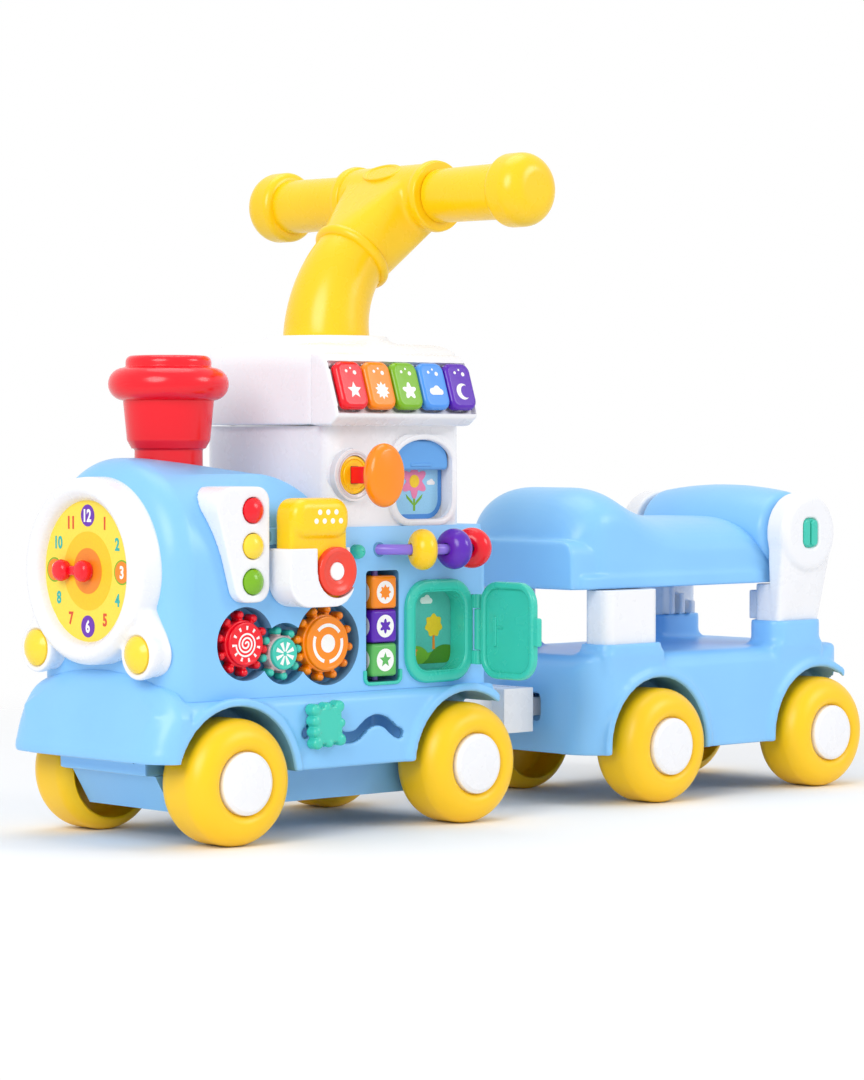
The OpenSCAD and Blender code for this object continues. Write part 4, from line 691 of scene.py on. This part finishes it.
def bent_stem(bottom_r, top_r, steps=14):
    """A tapered tube that rises out of the roof and bends back by 45 degrees."""
    shrink = (top_r / bottom_r) ** (1 / steps)
    turn = Matrix.Rotation(math.radians(45 / steps), 3, "Y")
    foot = Matrix.Translation((STEM_X, 0, STEM_Z - STEM_SUNK))
    bm = bmesh.new()
    bmesh.ops.create_circle(bm, segments=64, radius=bottom_r, cap_ends=True, matrix=foot)
    rim, ring = extruded(bm, bm.edges[:])
    bmesh.ops.translate(bm, verts=ring, vec=(0, 0, STEM_SUNK))
    for _ in range(steps):
        rim, ring = extruded(bm, rim)
        bmesh.ops.rotate(bm, verts=ring, cent=(STEM_X + BEND_R, 0, STEM_Z), matrix=turn)
        centre = sum((v.co for v in ring), Vector()) / len(ring)
        bmesh.ops.scale(bm, verts=ring, vec=(shrink,) * 3, space=Matrix.Translation(-centre))
    rim, ring = extruded(bm, rim)
    bmesh.ops.translate(bm, verts=ring, vec=LEAN * 20)
    bm.faces.new(ring)
    bmesh.ops.recalc_face_normals(bm, faces=bm.faces)
    return bm


def make_stem():
    stem = bmesh.new()
    add(stem, bent_stem(31, 26.3), TRAIN)
    web = [((178, 0, 405), LEAN, 27.5), ((190, 0, 417), LEAN, 25)]
    web += [((BAR_X, y, BAR_Z), (0, 1, 0), 22.5) for y in (-33, 33)]
    add(stem, hull(web, 48), TRAIN)
    add(stem, disc(24, -45, 45), across(BAR_X, BAR_Z))
    stem = one_skin(stem, 1.3, 22)
    # Rolled lip of the stem and rolled collars of the sleeve
    lip = place((176.6, 0, 403.8), (0, -1, 0), (LEAN.x, 0, -LEAN.z), tuple(LEAN))
    add(stem, lathe(LIP_OUTLINE, closed=True), lip)
    for side in SIDES:
        add(stem, lathe(COLLAR_OUTLINE, closed=True), across(BAR_X, BAR_Z, side))
    # Raised oval pad on top of the sleeve
    spot = Vector((BAR_X, 0, BAR_Z)) + BADGE_OUT * BADGE_R
    badge = place(tuple(spot), (0, -1, 0), (BADGE_OUT.z, 0, -BADGE_OUT.x), tuple(BADGE_OUT))
    pad = lathe([(0, -3), (9.5, -3), (9.5, 1.2, 0.8), (7.6, 1.2, 0.4), (7, 0.5), (0, 0.9)])
    bmesh.ops.scale(pad, verts=pad.verts, vec=(2.0, 1.0, 1.0))
    add(stem, pad, badge)
    finished("handle_stem", stem, [YELLOW])


def make_grips():
    ends = [across(BAR_X, BAR_Z, side) for side in SIDES]
    lathed_piece("handle_grips", GRIP_OUTLINE, YELLOW, ends, 80)


# Cab, roof, lock, window and piano keys

LOCK = near_side(113.0, 248.0, CAB_Y)
WINDOW = near_side(181.0, 245.0, CAB_Y)
ROOF_COLLAR = [(30, 336), (54, 336), (50, 341.5, 4), (44, 342.4), (43.5, STEM_Z, 2.5), (30, STEM_Z)]
LOCK_RING = [(13.8, 0), (13.8, 4.8, 0.8), (15.6, 5.6, 0.8), (18, 4.4, 1.4), (18.6, -0.5)]
BARREL_OUTLINE = [
    (0, -11), (13.2, -11), (13.2, 3.8, 0.6), (11.2, 4.6, 0.5), (10.6, 3.7), (9.8, 3.7), (9.3, 4.5, 0.3),
    (0, 4.5),
]
CONSOLE_UP = Vector((0, 11.5, 34)).normalized()
KEY_X, KEY_Y, KEY_Z, KEY_PITCH = 100.5, -82.75, 309.0, 25.5  # the first key's place and the next one's step
KEY_TOP, KEY_PRINT = 5.0, 5.15
TRAY_HALF, TRAY_DEPTH = (64.2, 18.4), 3.3
KEYS = (
    ("red_key", RED, star(5, 6.2, 2.9)),
    ("orange_key", ORANGE, star(10, 6.4, 4.2)),
    ("green_key", GREEN, petals(5, 6.4)),
    ("blue_key", KEY_BLUE, cloud(13)),
    ("purple_key", PURPLE, crescent(6.0)),
)


def console(i):
    """Place of a piano key on the sloping face of the console."""
    out = Vector((1, 0, 0)).cross(CONSOLE_UP)
    return place((KEY_X + KEY_PITCH * i, KEY_Y, KEY_Z), (1, 0, 0), tuple(CONSOLE_UP), tuple(out))


def sink_key_tray(roof):
    """Sets the console's face back under the keys, so that their caps have room to travel."""
    tray = console(2)
    wide, long = TRAY_HALF
    spots = [(vert, tray.inverted() @ vert.co) for vert in roof.verts]
    floor = [vert for vert, (u, v, w) in spots if abs(u) < wide and abs(v) < long and -8 < w < 1]
    bmesh.ops.translate(roof, verts=floor, vec=tray.to_3x3() @ Vector((0, 0, -TRAY_DEPTH)))


def make_cab():
    cab = cad_copy("cab", MOULD_R)
    arch = [(32 * u, 11 + 21 * v) for u, v in arc((0, 0), 1, 0, 180, 20)]
    add(cab, slab([(-32, -33.5, 17), (32, -33.5, 17)] + arch, -1.2, 2.6, rim=1.8, wall=4.6), WINDOW)
    finished("cab", cab, [WHITE])


def make_roof():
    roof = cad_copy("cab_roof")
    add(roof, lathe(ROOF_COLLAR, closed=True), upright(STEM_X, 0, 0))
    roof = one_skin(roof, 1.4, 14)
    sink_key_tray(roof)
    finished("cab_roof", roof, [WHITE])


def make_lock():
    lathed_piece("lock_ring", LOCK_RING, FROST, [LOCK], closed=True, body="loco", slot="white_shell")

    barrel = bmesh.new()
    add(barrel, lathe(BARREL_OUTLINE), LOCK)
    # The keyhole round the key shaft is a thin dark plate of painted shade
    add(barrel, slab(box_outline(7.4, 12.4, 1), 4.2, 4.7), LOCK, 1)
    finished("lock_barrel", barrel, [YELLOW, DARK])

    key = bmesh.new()
    add(key, slab(box_outline(6.8, 11.8, 0.8), -5.6, 30), LOCK, 1)
    head = lathe([(0, 27.1), (9, 27.7), *arc((15.6, 35), 6.4, -78, 78, 14), (9, 42.3), (0, 42.9)], 80)
    bmesh.ops.scale(head, verts=head.verts, vec=(0.74, 1, 1))
    add(key, head, LOCK)
    add(key, lathe([(0, 25), (6.6, 25, 1), (7.6, 29), (0, 29)]), LOCK)
    finished("lock_key", key, [ORANGE, RED])


def make_blind():
    blind = bmesh.new()
    sheet = [(-26.8, 6, 3), (26.8, 6, 3), (26.8, 27.8, 16), (-26.8, 27.8, 16)]
    add(blind, slab(sheet, -8.3, -1.6, rim=2.2), WINDOW)
    add(blind, slab(box_outline(20, 2.4, 1.1, (0, 9.6)), -3, -0.9, rim=0.7), WINDOW)
    finished("window_blind", blind, [BLIND_BLUE])


def make_piano_keys():
    for i, (name, mat, icon) in enumerate(KEYS):
        piano_key = bmesh.new()
        add(piano_key, slab(box_outline(24.4, 34.4, 7), 0.7, KEY_TOP, rim=3.2, foot=0.6), console(i))
        add(piano_key, slab(box_outline(21.2, 32.2, 3.6), -2.2, 1.5), console(i))
        add(piano_key, slab([(u, v - 4.5) for u, v in icon], KEY_TOP - 0.4, KEY_PRINT), console(i), 1)
        for u, v, r in ((-4, 9.5, 1.1), (3.4, 8.4, 1.5), (0.2, 11.6, 0.8)):
            add(piano_key, disc(r, KEY_TOP - 0.4, KEY_PRINT, 24), shifted(console(i), u, v), 1)
        finished(name, piano_key, [mat, INK_WHITE])


# Traffic lights and telephone

LIGHT_X, LIGHT_Z, LIGHT_PITCH = 13.5, 177, 24
PHONE = near_side(62.5, 159.0)
DOT_PITCH = 7.3
DIAL_RING = [
    (6.3, 19.5), (6.3, 22.6, 0.6), (8.6, 23.6, 0.8), (11.6, 23.9), (13.6, 24.9, 0.8), (16.6, 24.4, 1.2),
    (16.8, 19.5),
]


def make_traffic_lights():
    finished("traffic_panel", one_skin(cad_copy("traffic_panel"), 0.9, 9), [WHITE])
    for i, (name, mat) in enumerate((("green_light", GREEN), ("yellow_light", LAMP), ("red_light", RED))):
        spot = near_side(LIGHT_X, LIGHT_Z + LIGHT_PITCH * i)
        lathed_piece(name, dome(8.4, 6.2, 9.4, 3.6), mat, [spot])


def make_telephone():
    finished("phone_cradle", one_skin(cad_copy("phone_cradle"), 0.9, 7), [WHITE])
    handset = bmesh.new()
    waist = [(-25.1, 3.9, 14), (25.1, 3.9, 14), (25.1, 62, 3), (-25.1, 62, 3)]
    add(handset, slab(waist, 3.5, 20.1, rim=2.5, foot=1), PHONE)
    add(handset, slab(box_outline(50.3, 27.6, 11.5, (0, 60.1)), 3.5, 24.9, rim=7, foot=1), PHONE)
    handset = one_skin(handset, 0.9, 9)
    ring = shifted(PHONE, 13.5, 24)
    add(handset, lathe(DIAL_RING, 80, closed=True), ring, 1)
    add(handset, lathe([(0, 19.5), (6.2, 19.5), (6.2, 23.2, 0.8), (0, 23.5)]), ring, 2)
    for v, first, count in ((64.4, -3.8, 3), (58.4, -7, 4)):
        for i in range(count):
            dot = lathe([(0, 22), (1.9, 22), (1.9, 25.0, 0.2), (0, 25.15)], 24)
            add(handset, dot, shifted(PHONE, first + DOT_PITCH * i, v), 2)
    finished("phone_handset", handset, [YELLOW, DIAL_RED, INK_WHITE])


# Gears with ball teeth and printed faces

GEAR_MODULE, BALL_R = 3.9, 2.85
GEAR_PRINT = (0.3, 0.65)  # from inside the face to just proud of it


def make_gear(name, x, z, teeth, turn, mats, rim_paint, prints):
    pitch = GEAR_MODULE * teeth / 2
    root, face = pitch - 3.4, pitch - 4.6
    where = turned(near_side(x, z), turn)
    gear = bmesh.new()
    add(gear, lathe([(0, -11.3), (root, -11.3, 0.8), (root, -2.2, 1.2), (0, -2.0)], 80), where, rim_paint)
    hub = [(0, -3), (face, -3), (face, 0.8, 1.1), (face - 2, 0.8, 0.4), (face - 2.4, 0.5), (0, 0.5)]
    add(gear, lathe(hub, 80), where)
    ball = [(0, -11.2), (BALL_R, -11.2, 0.8), (BALL_R, -4.6), *arc((0, -4.6), BALL_R, 10, 90)]
    for i in range(teeth):
        spoke = turned(where, 360 * i / teeth)
        add(gear, lathe(ball, 24), shifted(spoke, pitch + 0.1))
        add(gear, slab(box_outline(5, 3.3, 0, (pitch - 2.4, 0)), -11.2, -3.2, rim=0.8), spoke, rim_paint)
    for lump in prints:
        add(gear, lump, turned(where, -turn), 1)
    finished(name, gear, mats)


def spiral(inner, pitch, halves, width):
    """White spiral line, drawn as half rings whose centre steps from side to side."""
    lumps = []
    for i in range(halves):
        start = inner + i * pitch / 2
        lump = band(start, start + width, 180 * i, 180 * (i + 1), *GEAR_PRINT)
        bmesh.ops.translate(lump, verts=lump.verts, vec=((pitch / 4) * (-1) ** i, 0, 0))
        lumps.append(lump)
    return lumps


def rays(count, inner, outer, inner_w, outer_w, start):
    """Wedges round a middle, from a first angle in degrees."""
    lumps = []
    for i in range(count):
        wedge = [(inner, -inner_w / 2), (outer, -outer_w / 2), (outer, outer_w / 2), (inner, inner_w / 2)]
        lump = slab(wedge, *GEAR_PRINT)
        lump.transform(Matrix.Rotation(math.radians(start + 360 * i / count), 4, "Z"))
        lumps.append(lump)
    return lumps


def make_gears():
    # A tooth of each gear points at a gap of the next, along the line between their axes
    to_teal, to_orange = -13, 8
    teal_turn = to_teal + 180 + 180 / 8
    teal_phase = (to_orange - teal_turn) * 8 / 360
    orange_turn = to_orange + 180 - (0.5 - teal_phase) * 360 / 12
    sun = spiral(0.8, 2.7, 6, 1.2) + rays(11, 9.6, 12.2, 1.2, 1.8, 20)
    make_gear("red_gear", 14, 135, 10, to_teal, [RED, INK_WHITE], 0, sun)
    wheel = rays(8, 1.6, 8.0, 0.9, 3.0, 22)
    make_gear("teal_gear", 48.2, 127.1, 8, teal_turn, [TEAL, INK_WHITE, BLUSH], 2, wheel)
    target = [band(11.4, 13.8, a, a + 98, *GEAR_PRINT) for a in (36, 156, 276)] + [disc(6.3, *GEAR_PRINT)]
    make_gear("orange_gear", 86.82, 132.53, 12, orange_turn, [ORANGE, INK_WHITE], 0, target)


# Tumbler blocks, beads and the rods they run on

BLOCK, BLOCK_PITCH = 23.0, 23.6
BLOCK_X, BLOCK_Y, BLOCK_Z = 137.5, 67.5, 119.1  # the lowest block's middle
ROD_CENTRE, ROD_R, ROD_SWEEP = (180.0, -45.0, 196.0), 54.8, 121.0
BEAD_OUTLINE = [(4.1, -7.6), *arc((5.6, 0), 8.8, -98, 98, 20), (4.1, 7.6)]


def on_rod(turn):
    """Place on the bead rod's bow, by the angle from its outermost point."""
    c, s = polar(1, turn - 90)
    x, y, z = ROD_CENTRE
    return place((x + ROD_R * c, y + ROD_R * s, z), (0, 0, 1), (c, s, 0), (-s, c, 0))


def make_blocks():
    marks = (star(5, 5.4, 2.4), petals(6, 5.2), star(8, 5.4, 3.6), petals(3, 5.2, 0.3))
    top = BLOCK / 2
    for i, (name, mat) in enumerate(
        (("green_block", LEAF), ("purple_block", PURPLE), ("orange_block", ORANGE))
    ):
        centre = near_side(BLOCK_X, BLOCK_Z + BLOCK_PITCH * i, BLOCK_Y)
        block = bmesh.new()
        cube = bmesh.new()
        bmesh.ops.create_cube(cube, size=BLOCK)
        round_edges(cube, cube.edges[:], 2.6)
        add(block, cube, centre)
        for side in range(4):
            face = turned(centre, 90 * side, "Y")
            add(block, disc(7.9, top - 1, top + 0.12, 48), face, 1)
            add(block, slab(marks[(i + side) % 4], top - 0.5, top + 0.22), face)
        finished(name, block, [mat, INK_WHITE])


def make_beads():
    for name, turn, mat in (
        ("yellow_bead", -23.7, YELLOW), ("purple_bead", 4, PURPLE), ("red_bead", 30.7, RED)
    ):
        lathed_piece(name, BEAD_OUTLINE, mat, [on_rod(turn)], closed=True)


def make_rods():
    bow = bmesh.new()
    bmesh.ops.create_circle(bow, segments=24, radius=3.7, cap_ends=True)
    bow.transform(Matrix.Translation((ROD_R, 0, 0)) @ Matrix.Rotation(math.radians(90), 4, "X"))
    bmesh.ops.spin(
        bow, geom=bow.verts[:] + bow.edges[:] + bow.faces[:], cent=(0, 0, 0), axis=(0, 0, 1),
        angle=math.radians(ROD_SWEEP), steps=40, use_merge=False,
    )
    bmesh.ops.recalc_face_normals(bow, faces=bow.faces)
    rods = bmesh.new()
    add(rods, bow, turned(upright(*ROD_CENTRE), -90 - ROD_SWEEP / 2))
    add(rods, disc(2.4, 104.5, 181, 24), upright(BLOCK_X, -BLOCK_Y, 0))
    finished("guide_rods", rods, [LAVENDER])


# Door, its frame and the printed cards

OPENING = near_side(190.0, 137.5)
DOOR_LEAF = place((216, -114, 137.5), (0, 1, 0), (0, 0, 1), (1, 0, 0))
HINGE_X, HINGE_Y, KNUCKLE_R = 223.0, -83.0, 2.75


def knuckle(low, high):
    return lathe([(0, low), (KNUCKLE_R, low, 0.5), (KNUCKLE_R, high, 0.5), (0, high)], 32)


def make_fittings():
    hinge = upright(HINGE_X, HINGE_Y, 0)
    fittings = bmesh.new()
    add(fittings, slab(box_outline(64, 73, 20), -1, 4, rim=2.4, wall=8), OPENING)
    add(fittings, slab(box_outline(51.8, 60.8, 14), -11.6, 2.5, wall=2.6), OPENING)
    for low in (112.5, 152.5):
        add(fittings, knuckle(low, low + 10), hinge)
        add(fittings, slab(box_outline(4.2, 9.6, 0.6), 1, 6.8, rim=0.6), near_side(HINGE_X - 1.2, low + 5))
    # Lip of the block slot, open below
    lip = slab(box_outline(35.6, 82.4, 5.5), -1.2, 1.6, rim=0.8, wall=2.5)
    cut_off(lip, lip.verts[:] + lip.edges[:] + lip.faces[:], (0, -30.7, 0), (0, 1, 0))
    add(fittings, lip, near_side(BLOCK_X, 142.7))
    peg = [(0, -3), (5, -3), (5, 2.4), *arc((0, 2.4), 5, 15, 90)[:-1], (0, 6.4)]
    add(fittings, lathe(peg, 32), near_side(113, 195))
    finished("teal_fittings", fittings, [TEAL])


def make_door():
    door = bmesh.new()
    add(door, slab(box_outline(54, 69, 16), 4.3, 10.3, rim=1.8, foot=1.8, wall=5), DOOR_LEAF)
    add(door, slab(box_outline(46, 61, 12), 7.2, 9.7), DOOR_LEAF)
    add(door, slab(box_outline(8, 20, 1.6, (-27.6, 0)), 5.2, 9.4, rim=1.2, foot=1.2), DOOR_LEAF)
    add(door, slab(box_outline(3.2, 21, 1.2, (13.5, -1)), 6, 7.4, foot=0.5), DOOR_LEAF)
    add(door, slab(box_outline(9, 1.2, 0.4, (10, 2)), 6.4, 7.4), DOOR_LEAF)
    add(door, knuckle(122.9, 152.1), upright(HINGE_X, HINGE_Y, 0))
    add(door, slab(box_outline(8, 28.8, 0.6, (28.5, 0)), 5.7, 8.3), DOOR_LEAF)
    finished("door", door, [TEAL])


def make_cards():
    inks = [INK_SKY, INK_BLUE, INK_PINK, INK_WHITE, INK_LAGOON, INK_GREEN, INK_SUN, INK_MOSS, INK_ORANGE]
    paint = {ink: i for i, ink in enumerate(inks)}
    cards = bmesh.new()

    # Window card: a flower under clouds, in a border; each print lies a little higher than the one below
    back = -10.2
    flower, bloom = shifted(WINDOW, 1, -6), shifted(WINDOW, 1, -2)
    add(cards, slab(box_outline(54.4, 57.4, 13.6), -11, -9.9), WINDOW)
    add(cards, slab(box_outline(54.4, 57.4, 13.6), -10.4, -9.75, wall=3.4), WINDOW, paint[INK_BLUE])
    add(cards, slab([(-1, -17), (1, -17), (0.8, 2), (-0.8, 2)], back, -9.75), flower, paint[INK_GREEN])
    for side in SIDES:
        blade = [(0, -14), (side * 7, -8), (side * 8, -5), (side * 2, -10)]
        add(cards, slab(blade, back, -9.7), flower, paint[INK_GREEN])
    add(cards, slab(petals(6, 12.5, 0.2), back, -9.65), bloom, paint[INK_PINK])
    add(cards, disc(4.6, -10, -9.5, 40), bloom, paint[INK_SUN])
    for u, v, size in ((-17, 3, 9), (17, -3, 8)):
        add(cards, slab(cloud(size), back, -9.7), shifted(WINDOW, u, v), paint[INK_WHITE])

    # Door card: a tree and a small flower on two hills, under clouds
    back = -12.2
    add(cards, slab(box_outline(51.4, 60.4, 13.6), -13, -11.9), OPENING, paint[INK_LAGOON])
    far_hill = [(-24, -21), *arc((-10, -26), 15, 160, 40, 10), (24, -12), (24, -24, 9), (-20, -24, 4)]
    add(cards, slab(far_hill, back, -11.75), OPENING, paint[INK_GREEN])
    near_hill = [(-4, -24), (24, -24, 9), *arc((18, -30), 19, 60, 150, 10)]
    add(cards, slab(near_hill, back, -11.65), OPENING, paint[INK_MOSS])
    trunk = [(-1.2, -14), (1.2, -14), (0.8, -2), (-0.8, -2)]
    add(cards, slab(trunk, back, -11.6), shifted(OPENING, 7), paint[INK_ORANGE])
    add(cards, slab(petals(7, 8.5, 0.1), back, -11.55), shifted(OPENING, 7, 3), paint[INK_SUN])
    add(cards, slab(petals(5, 3.6), back, -11.55), shifted(OPENING, -12, -15), paint[INK_ORANGE])
    for u, v, size in ((0, 21, 12), (-15, 11, 9)):
        add(cards, slab(cloud(size), back, -11.7), shifted(OPENING, u, v), paint[INK_WHITE])
    finished("picture_cards", cards, inks)


# Slider: a scalloped knob on the wavy slot

SCALLOPS = (
    (-10.5, 11.5, 4.2), (-11, 3.8, 3.6), (-11, -3.8, 3.6), (-10.5, -11.5, 4.2), (0, -12.4, 3.2),
    (10.5, -11.5, 4.2), (11.4, 0, 3.4), (10.5, 11.5, 4.2), (0, 12.4, 3.2),
)


def make_slider():
    where = near_side(75, 78, SKIRT_Y)
    tilt = turned(where, 4)
    knob = bmesh.new()
    add(knob, slab(box_outline(23, 25, 3), 0.6, 9.4, rim=1.6, foot=0.8), tilt)
    for u, v, r in SCALLOPS:
        bump = [(0, 0.6), (r, 0.6, 0.6), (r, 7.2), *arc((r - 3, 7.2), 3, 10, 90), (0, 10.2)]
        add(knob, lathe(bump, 32), shifted(tilt, u, v))
    knob = one_skin(knob, 0.6, 5)
    foot = [(0, -8.8), (6.8, -8.8, 0.5), (6.8, -6.6), (3.2, -6.6), (3.2, 2), (0, 2)]
    add(knob, lathe(foot, 32), where)
    finished("slider", knob, [TEAL])


# Wagon

FRONT_POST_X, REAR_POST_X, POST_Y = 388.5, 573.5, 64.5
ROLL_X, ROLL_Z, ROLL_HALF = 575.0, 199.8, 67.8
SEAT_Z = 161.0  # the seat's lower edge
ROLL_OUTLINE = [
    (0, -74), (8, -74), (8, -ROLL_HALF), (31, -ROLL_HALF, 9),
    *((37 - 6 * (h / 68) ** 2, h) for h in range(-56, 57, 8)),
    (31, ROLL_HALF, 9), (8, ROLL_HALF), (8, 74), (0, 74),
]


def make_chassis():
    chassis = cad_copy("wagon_chassis")
    for x, length in ((FRONT_POST_X, 66), (REAR_POST_X, 58)):
        for side in SIDES:
            # Each socket's wall runs down into the chassis shoulder
            corners = [(u, v) for u in (-length / 2 + 6, length / 2 - 6) for v in (-11, 11)]
            foot = [((x + u, side * (POST_Y - 1) + v, 97), (0, 0, 1), 5) for u, v in corners]
            rim = [((x + u, side * POST_Y + v, 114), (0, 0, 1), 6.4) for u, v in corners]
            add(chassis, hull(foot + rim, 16), TRAIN)
    chassis = one_skin(chassis, 1.85, 7)
    # The wheel wells get painted shade: a darker blue inside
    painted(chassis, 1, lambda x, y, z: in_wheel_well(x, y, z, WAGON_AXLES, 80.8))
    finished("wagon_chassis", chassis, [BLUE, PAINTED_SHADE_BLUE])


def make_posts():
    front = bmesh.new()
    for side in SIDES:
        socket = upright(FRONT_POST_X, side * POST_Y, 0)
        add(front, slab(box_outline(57, 27, 9), 112.2, 160.4, rim=0.6), socket)
    finished("front_posts", front, [WHITE])

    rear = cad_copy("rear_posts")
    for side in SIDES:
        # The post widens into its drum
        neck = [((ROLL_X, side * y, ROLL_Z), (0, 1, 0), 30) for y in (71, 86)]
        neck += [((REAR_POST_X + u, side * y, 128), (0, 0, 1), 4) for u in (-20, 20) for y in (73, 74)]
        add(rear, hull(neck), TRAIN)
    finished("rear_posts", one_skin(rear, 1.1, 7), [WHITE])


def seat_section(bm, x, half, top):
    """One closed cross section of the seat: flat below, with broad rounded edges on top."""
    rise = min(28.0, (top - SEAT_Z) * 0.7)
    run = min(46.0, half * 0.9)
    edge = [(half - run + run * u, top - rise + rise * v) for u, v in arc((0, 0), 1, 0, 90, 10)]
    right = [(half, SEAT_Z), *edge]
    left = [(-y, z) for y, z in reversed(right)]
    return closed_ring(bm, [(x, y, z) for y, z in right + left])


def make_seat():
    # Side view: a round hump in front, a hollow to sit in, and a tail that turns down before the roll
    crest = arc((380, 196.8), 39.6, 176, 60, 14) + arc((469.8, 352.8), 140, 240, 270, 12)[1:]
    crest += arc((524, 176.8), 36, 90, 8, 10)
    body = bmesh.new()
    sections = []
    for x, top in crest:
        # The front corners are rounded, seen from above
        front = min(33.9, max(0.0, 374.0 - x))
        sections.append(seat_section(body, x, 32.3 + math.sqrt(34.0 ** 2 - front ** 2), top))
    loft(body, sections)
    seat = bmesh.new()
    add(seat, body, TRAIN)
    nose = slab([(-64, -18, 2), (64, -18, 2), (64, 18, 11), (-64, 18, 11)], -22, 5, rim=5)
    add(seat, nose, place((340.8, 0, SEAT_Z + 18), (0, -1, 0), (0, 0, 1), (-1, 0, 0)))
    add(seat, slab(box_outline(218, 136, 15), SEAT_Z, SEAT_Z + 10, rim=1.5, wall=6), upright(447, 0, 0))
    finished("seat", one_skin(seat, 1.5, 6), [BLUE])


def make_backrest():
    lathed_piece("backrest_roll", ROLL_OUTLINE, BLUE, [across(ROLL_X, ROLL_Z)], 96)


def make_releases():
    for name, side in (("right_release", 1), ("left_release", -1)):
        where = across(ROLL_X, ROLL_Z, side)
        button = bmesh.new()
        add(button, slab(box_outline(16.6, 22.6, 5.6), 80.7, 88.2, rim=0.6), where)
        for u in (-4.4, 4.4):
            add(button, slab(box_outline(7.4, 20.6, 3.4, (u, 0)), 87, 90.2, rim=1.6), where)
        finished(name, button, [TEAL])


# Floor, light and camera, in metres

FLOOR_R, FADE_FROM, FADE_TO = 1.6, 0.45, 1.3
SOFTBOXES = (
    ("softbox_left", (-2.1, -0.9, 1.3), (-0.1, 0.0, 0.2), 1.4, 27),
    ("softbox_right", (1.2, -2.0, 1.4), (0.0, 0.0, 0.2), 1.1, 15),
    ("softbox_top", (0.1, 0.3, 2.3), (0.0, 0.0, 0.2), 1.6, 12),
)
PHOTO_H, FOCAL = 1080.0, 3426.0  # the picture's height and the focal length, in its pixels
CAMERA_MM = (-1457.0, -1849.4, 272.1)
CAMERA_TURN, CAMERA_TILT = -42.79, 1.67


def make_floor():
    bm = bmesh.new()
    bmesh.ops.create_circle(bm, segments=96, radius=FLOOR_R, cap_ends=True)
    mesh = bpy.data.meshes.new("floor")
    bm.to_mesh(mesh)
    bm.free()
    pale = bpy.data.materials.new("studio_floor_white")
    pale.use_nodes = True
    tree = pale.node_tree
    matt = tree.nodes["Principled BSDF"]
    matt.inputs["Base Color"].default_value = (0.93, 0.93, 0.93, 1)
    matt.inputs["Roughness"].default_value = 0.9
    matt.inputs["Specular IOR Level"].default_value = 0.1
    # The floor fades out away from the train, so that no horizon shows
    spot = add_node(tree, "ShaderNodeTexCoord").outputs["Object"]
    reach = add_node(tree, "ShaderNodeVectorMath", [(0, spot)], operation="LENGTH").outputs["Value"]
    fade = add_node(tree, "ShaderNodeMapRange", [("Value", reach)],
                    interpolation_type="SMOOTHSTEP", From_Min=FADE_FROM, From_Max=FADE_TO).outputs["Result"]
    clear = add_node(tree, "ShaderNodeBsdfTransparent").outputs[0]
    mix = add_node(tree, "ShaderNodeMixShader", [(0, fade), (1, matt.outputs[0]), (2, clear)])
    tree.links.new(mix.outputs[0], tree.nodes["Material Output"].inputs["Surface"])
    mesh.materials.append(pale)
    linked("floor", mesh)


def make_background():
    world = bpy.data.worlds.new("studio")
    bpy.context.scene.world = world
    world.use_nodes = True
    tree = world.node_tree
    light = add_node(tree, "ShaderNodeBackground", Color=(0.95, 0.97, 1.0, 1), Strength=0.68).outputs[0]
    seen = add_node(tree, "ShaderNodeBackground", Color=(1, 1, 1, 1), Strength=1.0).outputs[0]
    # The camera sees plain white, and so do the reflections in steel and gloss
    ray = add_node(tree, "ShaderNodeLightPath")
    white = ray.outputs["Is Camera Ray"]
    for other in ("Is Glossy Ray", "Is Transmission Ray"):
        either = add_node(tree, "ShaderNodeMath", [(0, white), (1, ray.outputs[other])], operation="MAXIMUM")
        white = either.outputs[0]
    mix = add_node(tree, "ShaderNodeMixShader", [(0, white), (1, light), (2, seen)])
    tree.links.new(mix.outputs[0], tree.nodes["World Output"].inputs["Surface"])


def make_lamps():
    for name, spot, aim, size, power in SOFTBOXES:
        lamp = bpy.data.lights.new(name, "AREA")
        lamp.shape, lamp.size, lamp.energy = "DISK", size, power
        lit = linked(name, lamp)
        lit.location = spot
        lit.rotation_mode = "QUATERNION"
        lit.rotation_quaternion = (Vector(aim) - Vector(spot)).to_track_quat("-Z", "Y")


def make_camera():
    lens = bpy.data.cameras.new("camera")
    lens.sensor_width = 36.0
    lens.lens = FOCAL / PHOTO_H * lens.sensor_width
    lens.clip_start, lens.clip_end = 0.05, 50.0
    camera = linked("camera", lens)
    x, y, z = CAMERA_MM
    camera.location = ((x + FRONT_AXLE) * MM, y * MM, z * MM)
    turn, tilt = math.radians(CAMERA_TURN), math.radians(CAMERA_TILT)
    back = Vector((math.sin(turn) * math.cos(tilt), -math.cos(turn) * math.cos(tilt), math.sin(tilt)))
    camera.rotation_mode = "QUATERNION"
    camera.rotation_quaternion = (-back).to_track_quat("-Z", "Y")
    bpy.context.scene.camera = camera


for make in (
    make_shell, make_skirt, make_underside, make_wheels, make_bezel, make_headlamps, make_dial, make_hand,
    make_chimney, make_stem, make_grips, make_cab, make_roof, make_lock, make_blind, make_piano_keys,
    make_traffic_lights, make_telephone, make_gears, make_blocks, make_beads, make_rods, make_fittings,
    make_door, make_cards, make_slider, make_chassis, make_posts, make_seat, make_backrest, make_releases,
    make_floor, make_background, make_lamps, make_camera,
):
    make()
bpy.context.scene.view_settings.view_transform = "Standard"
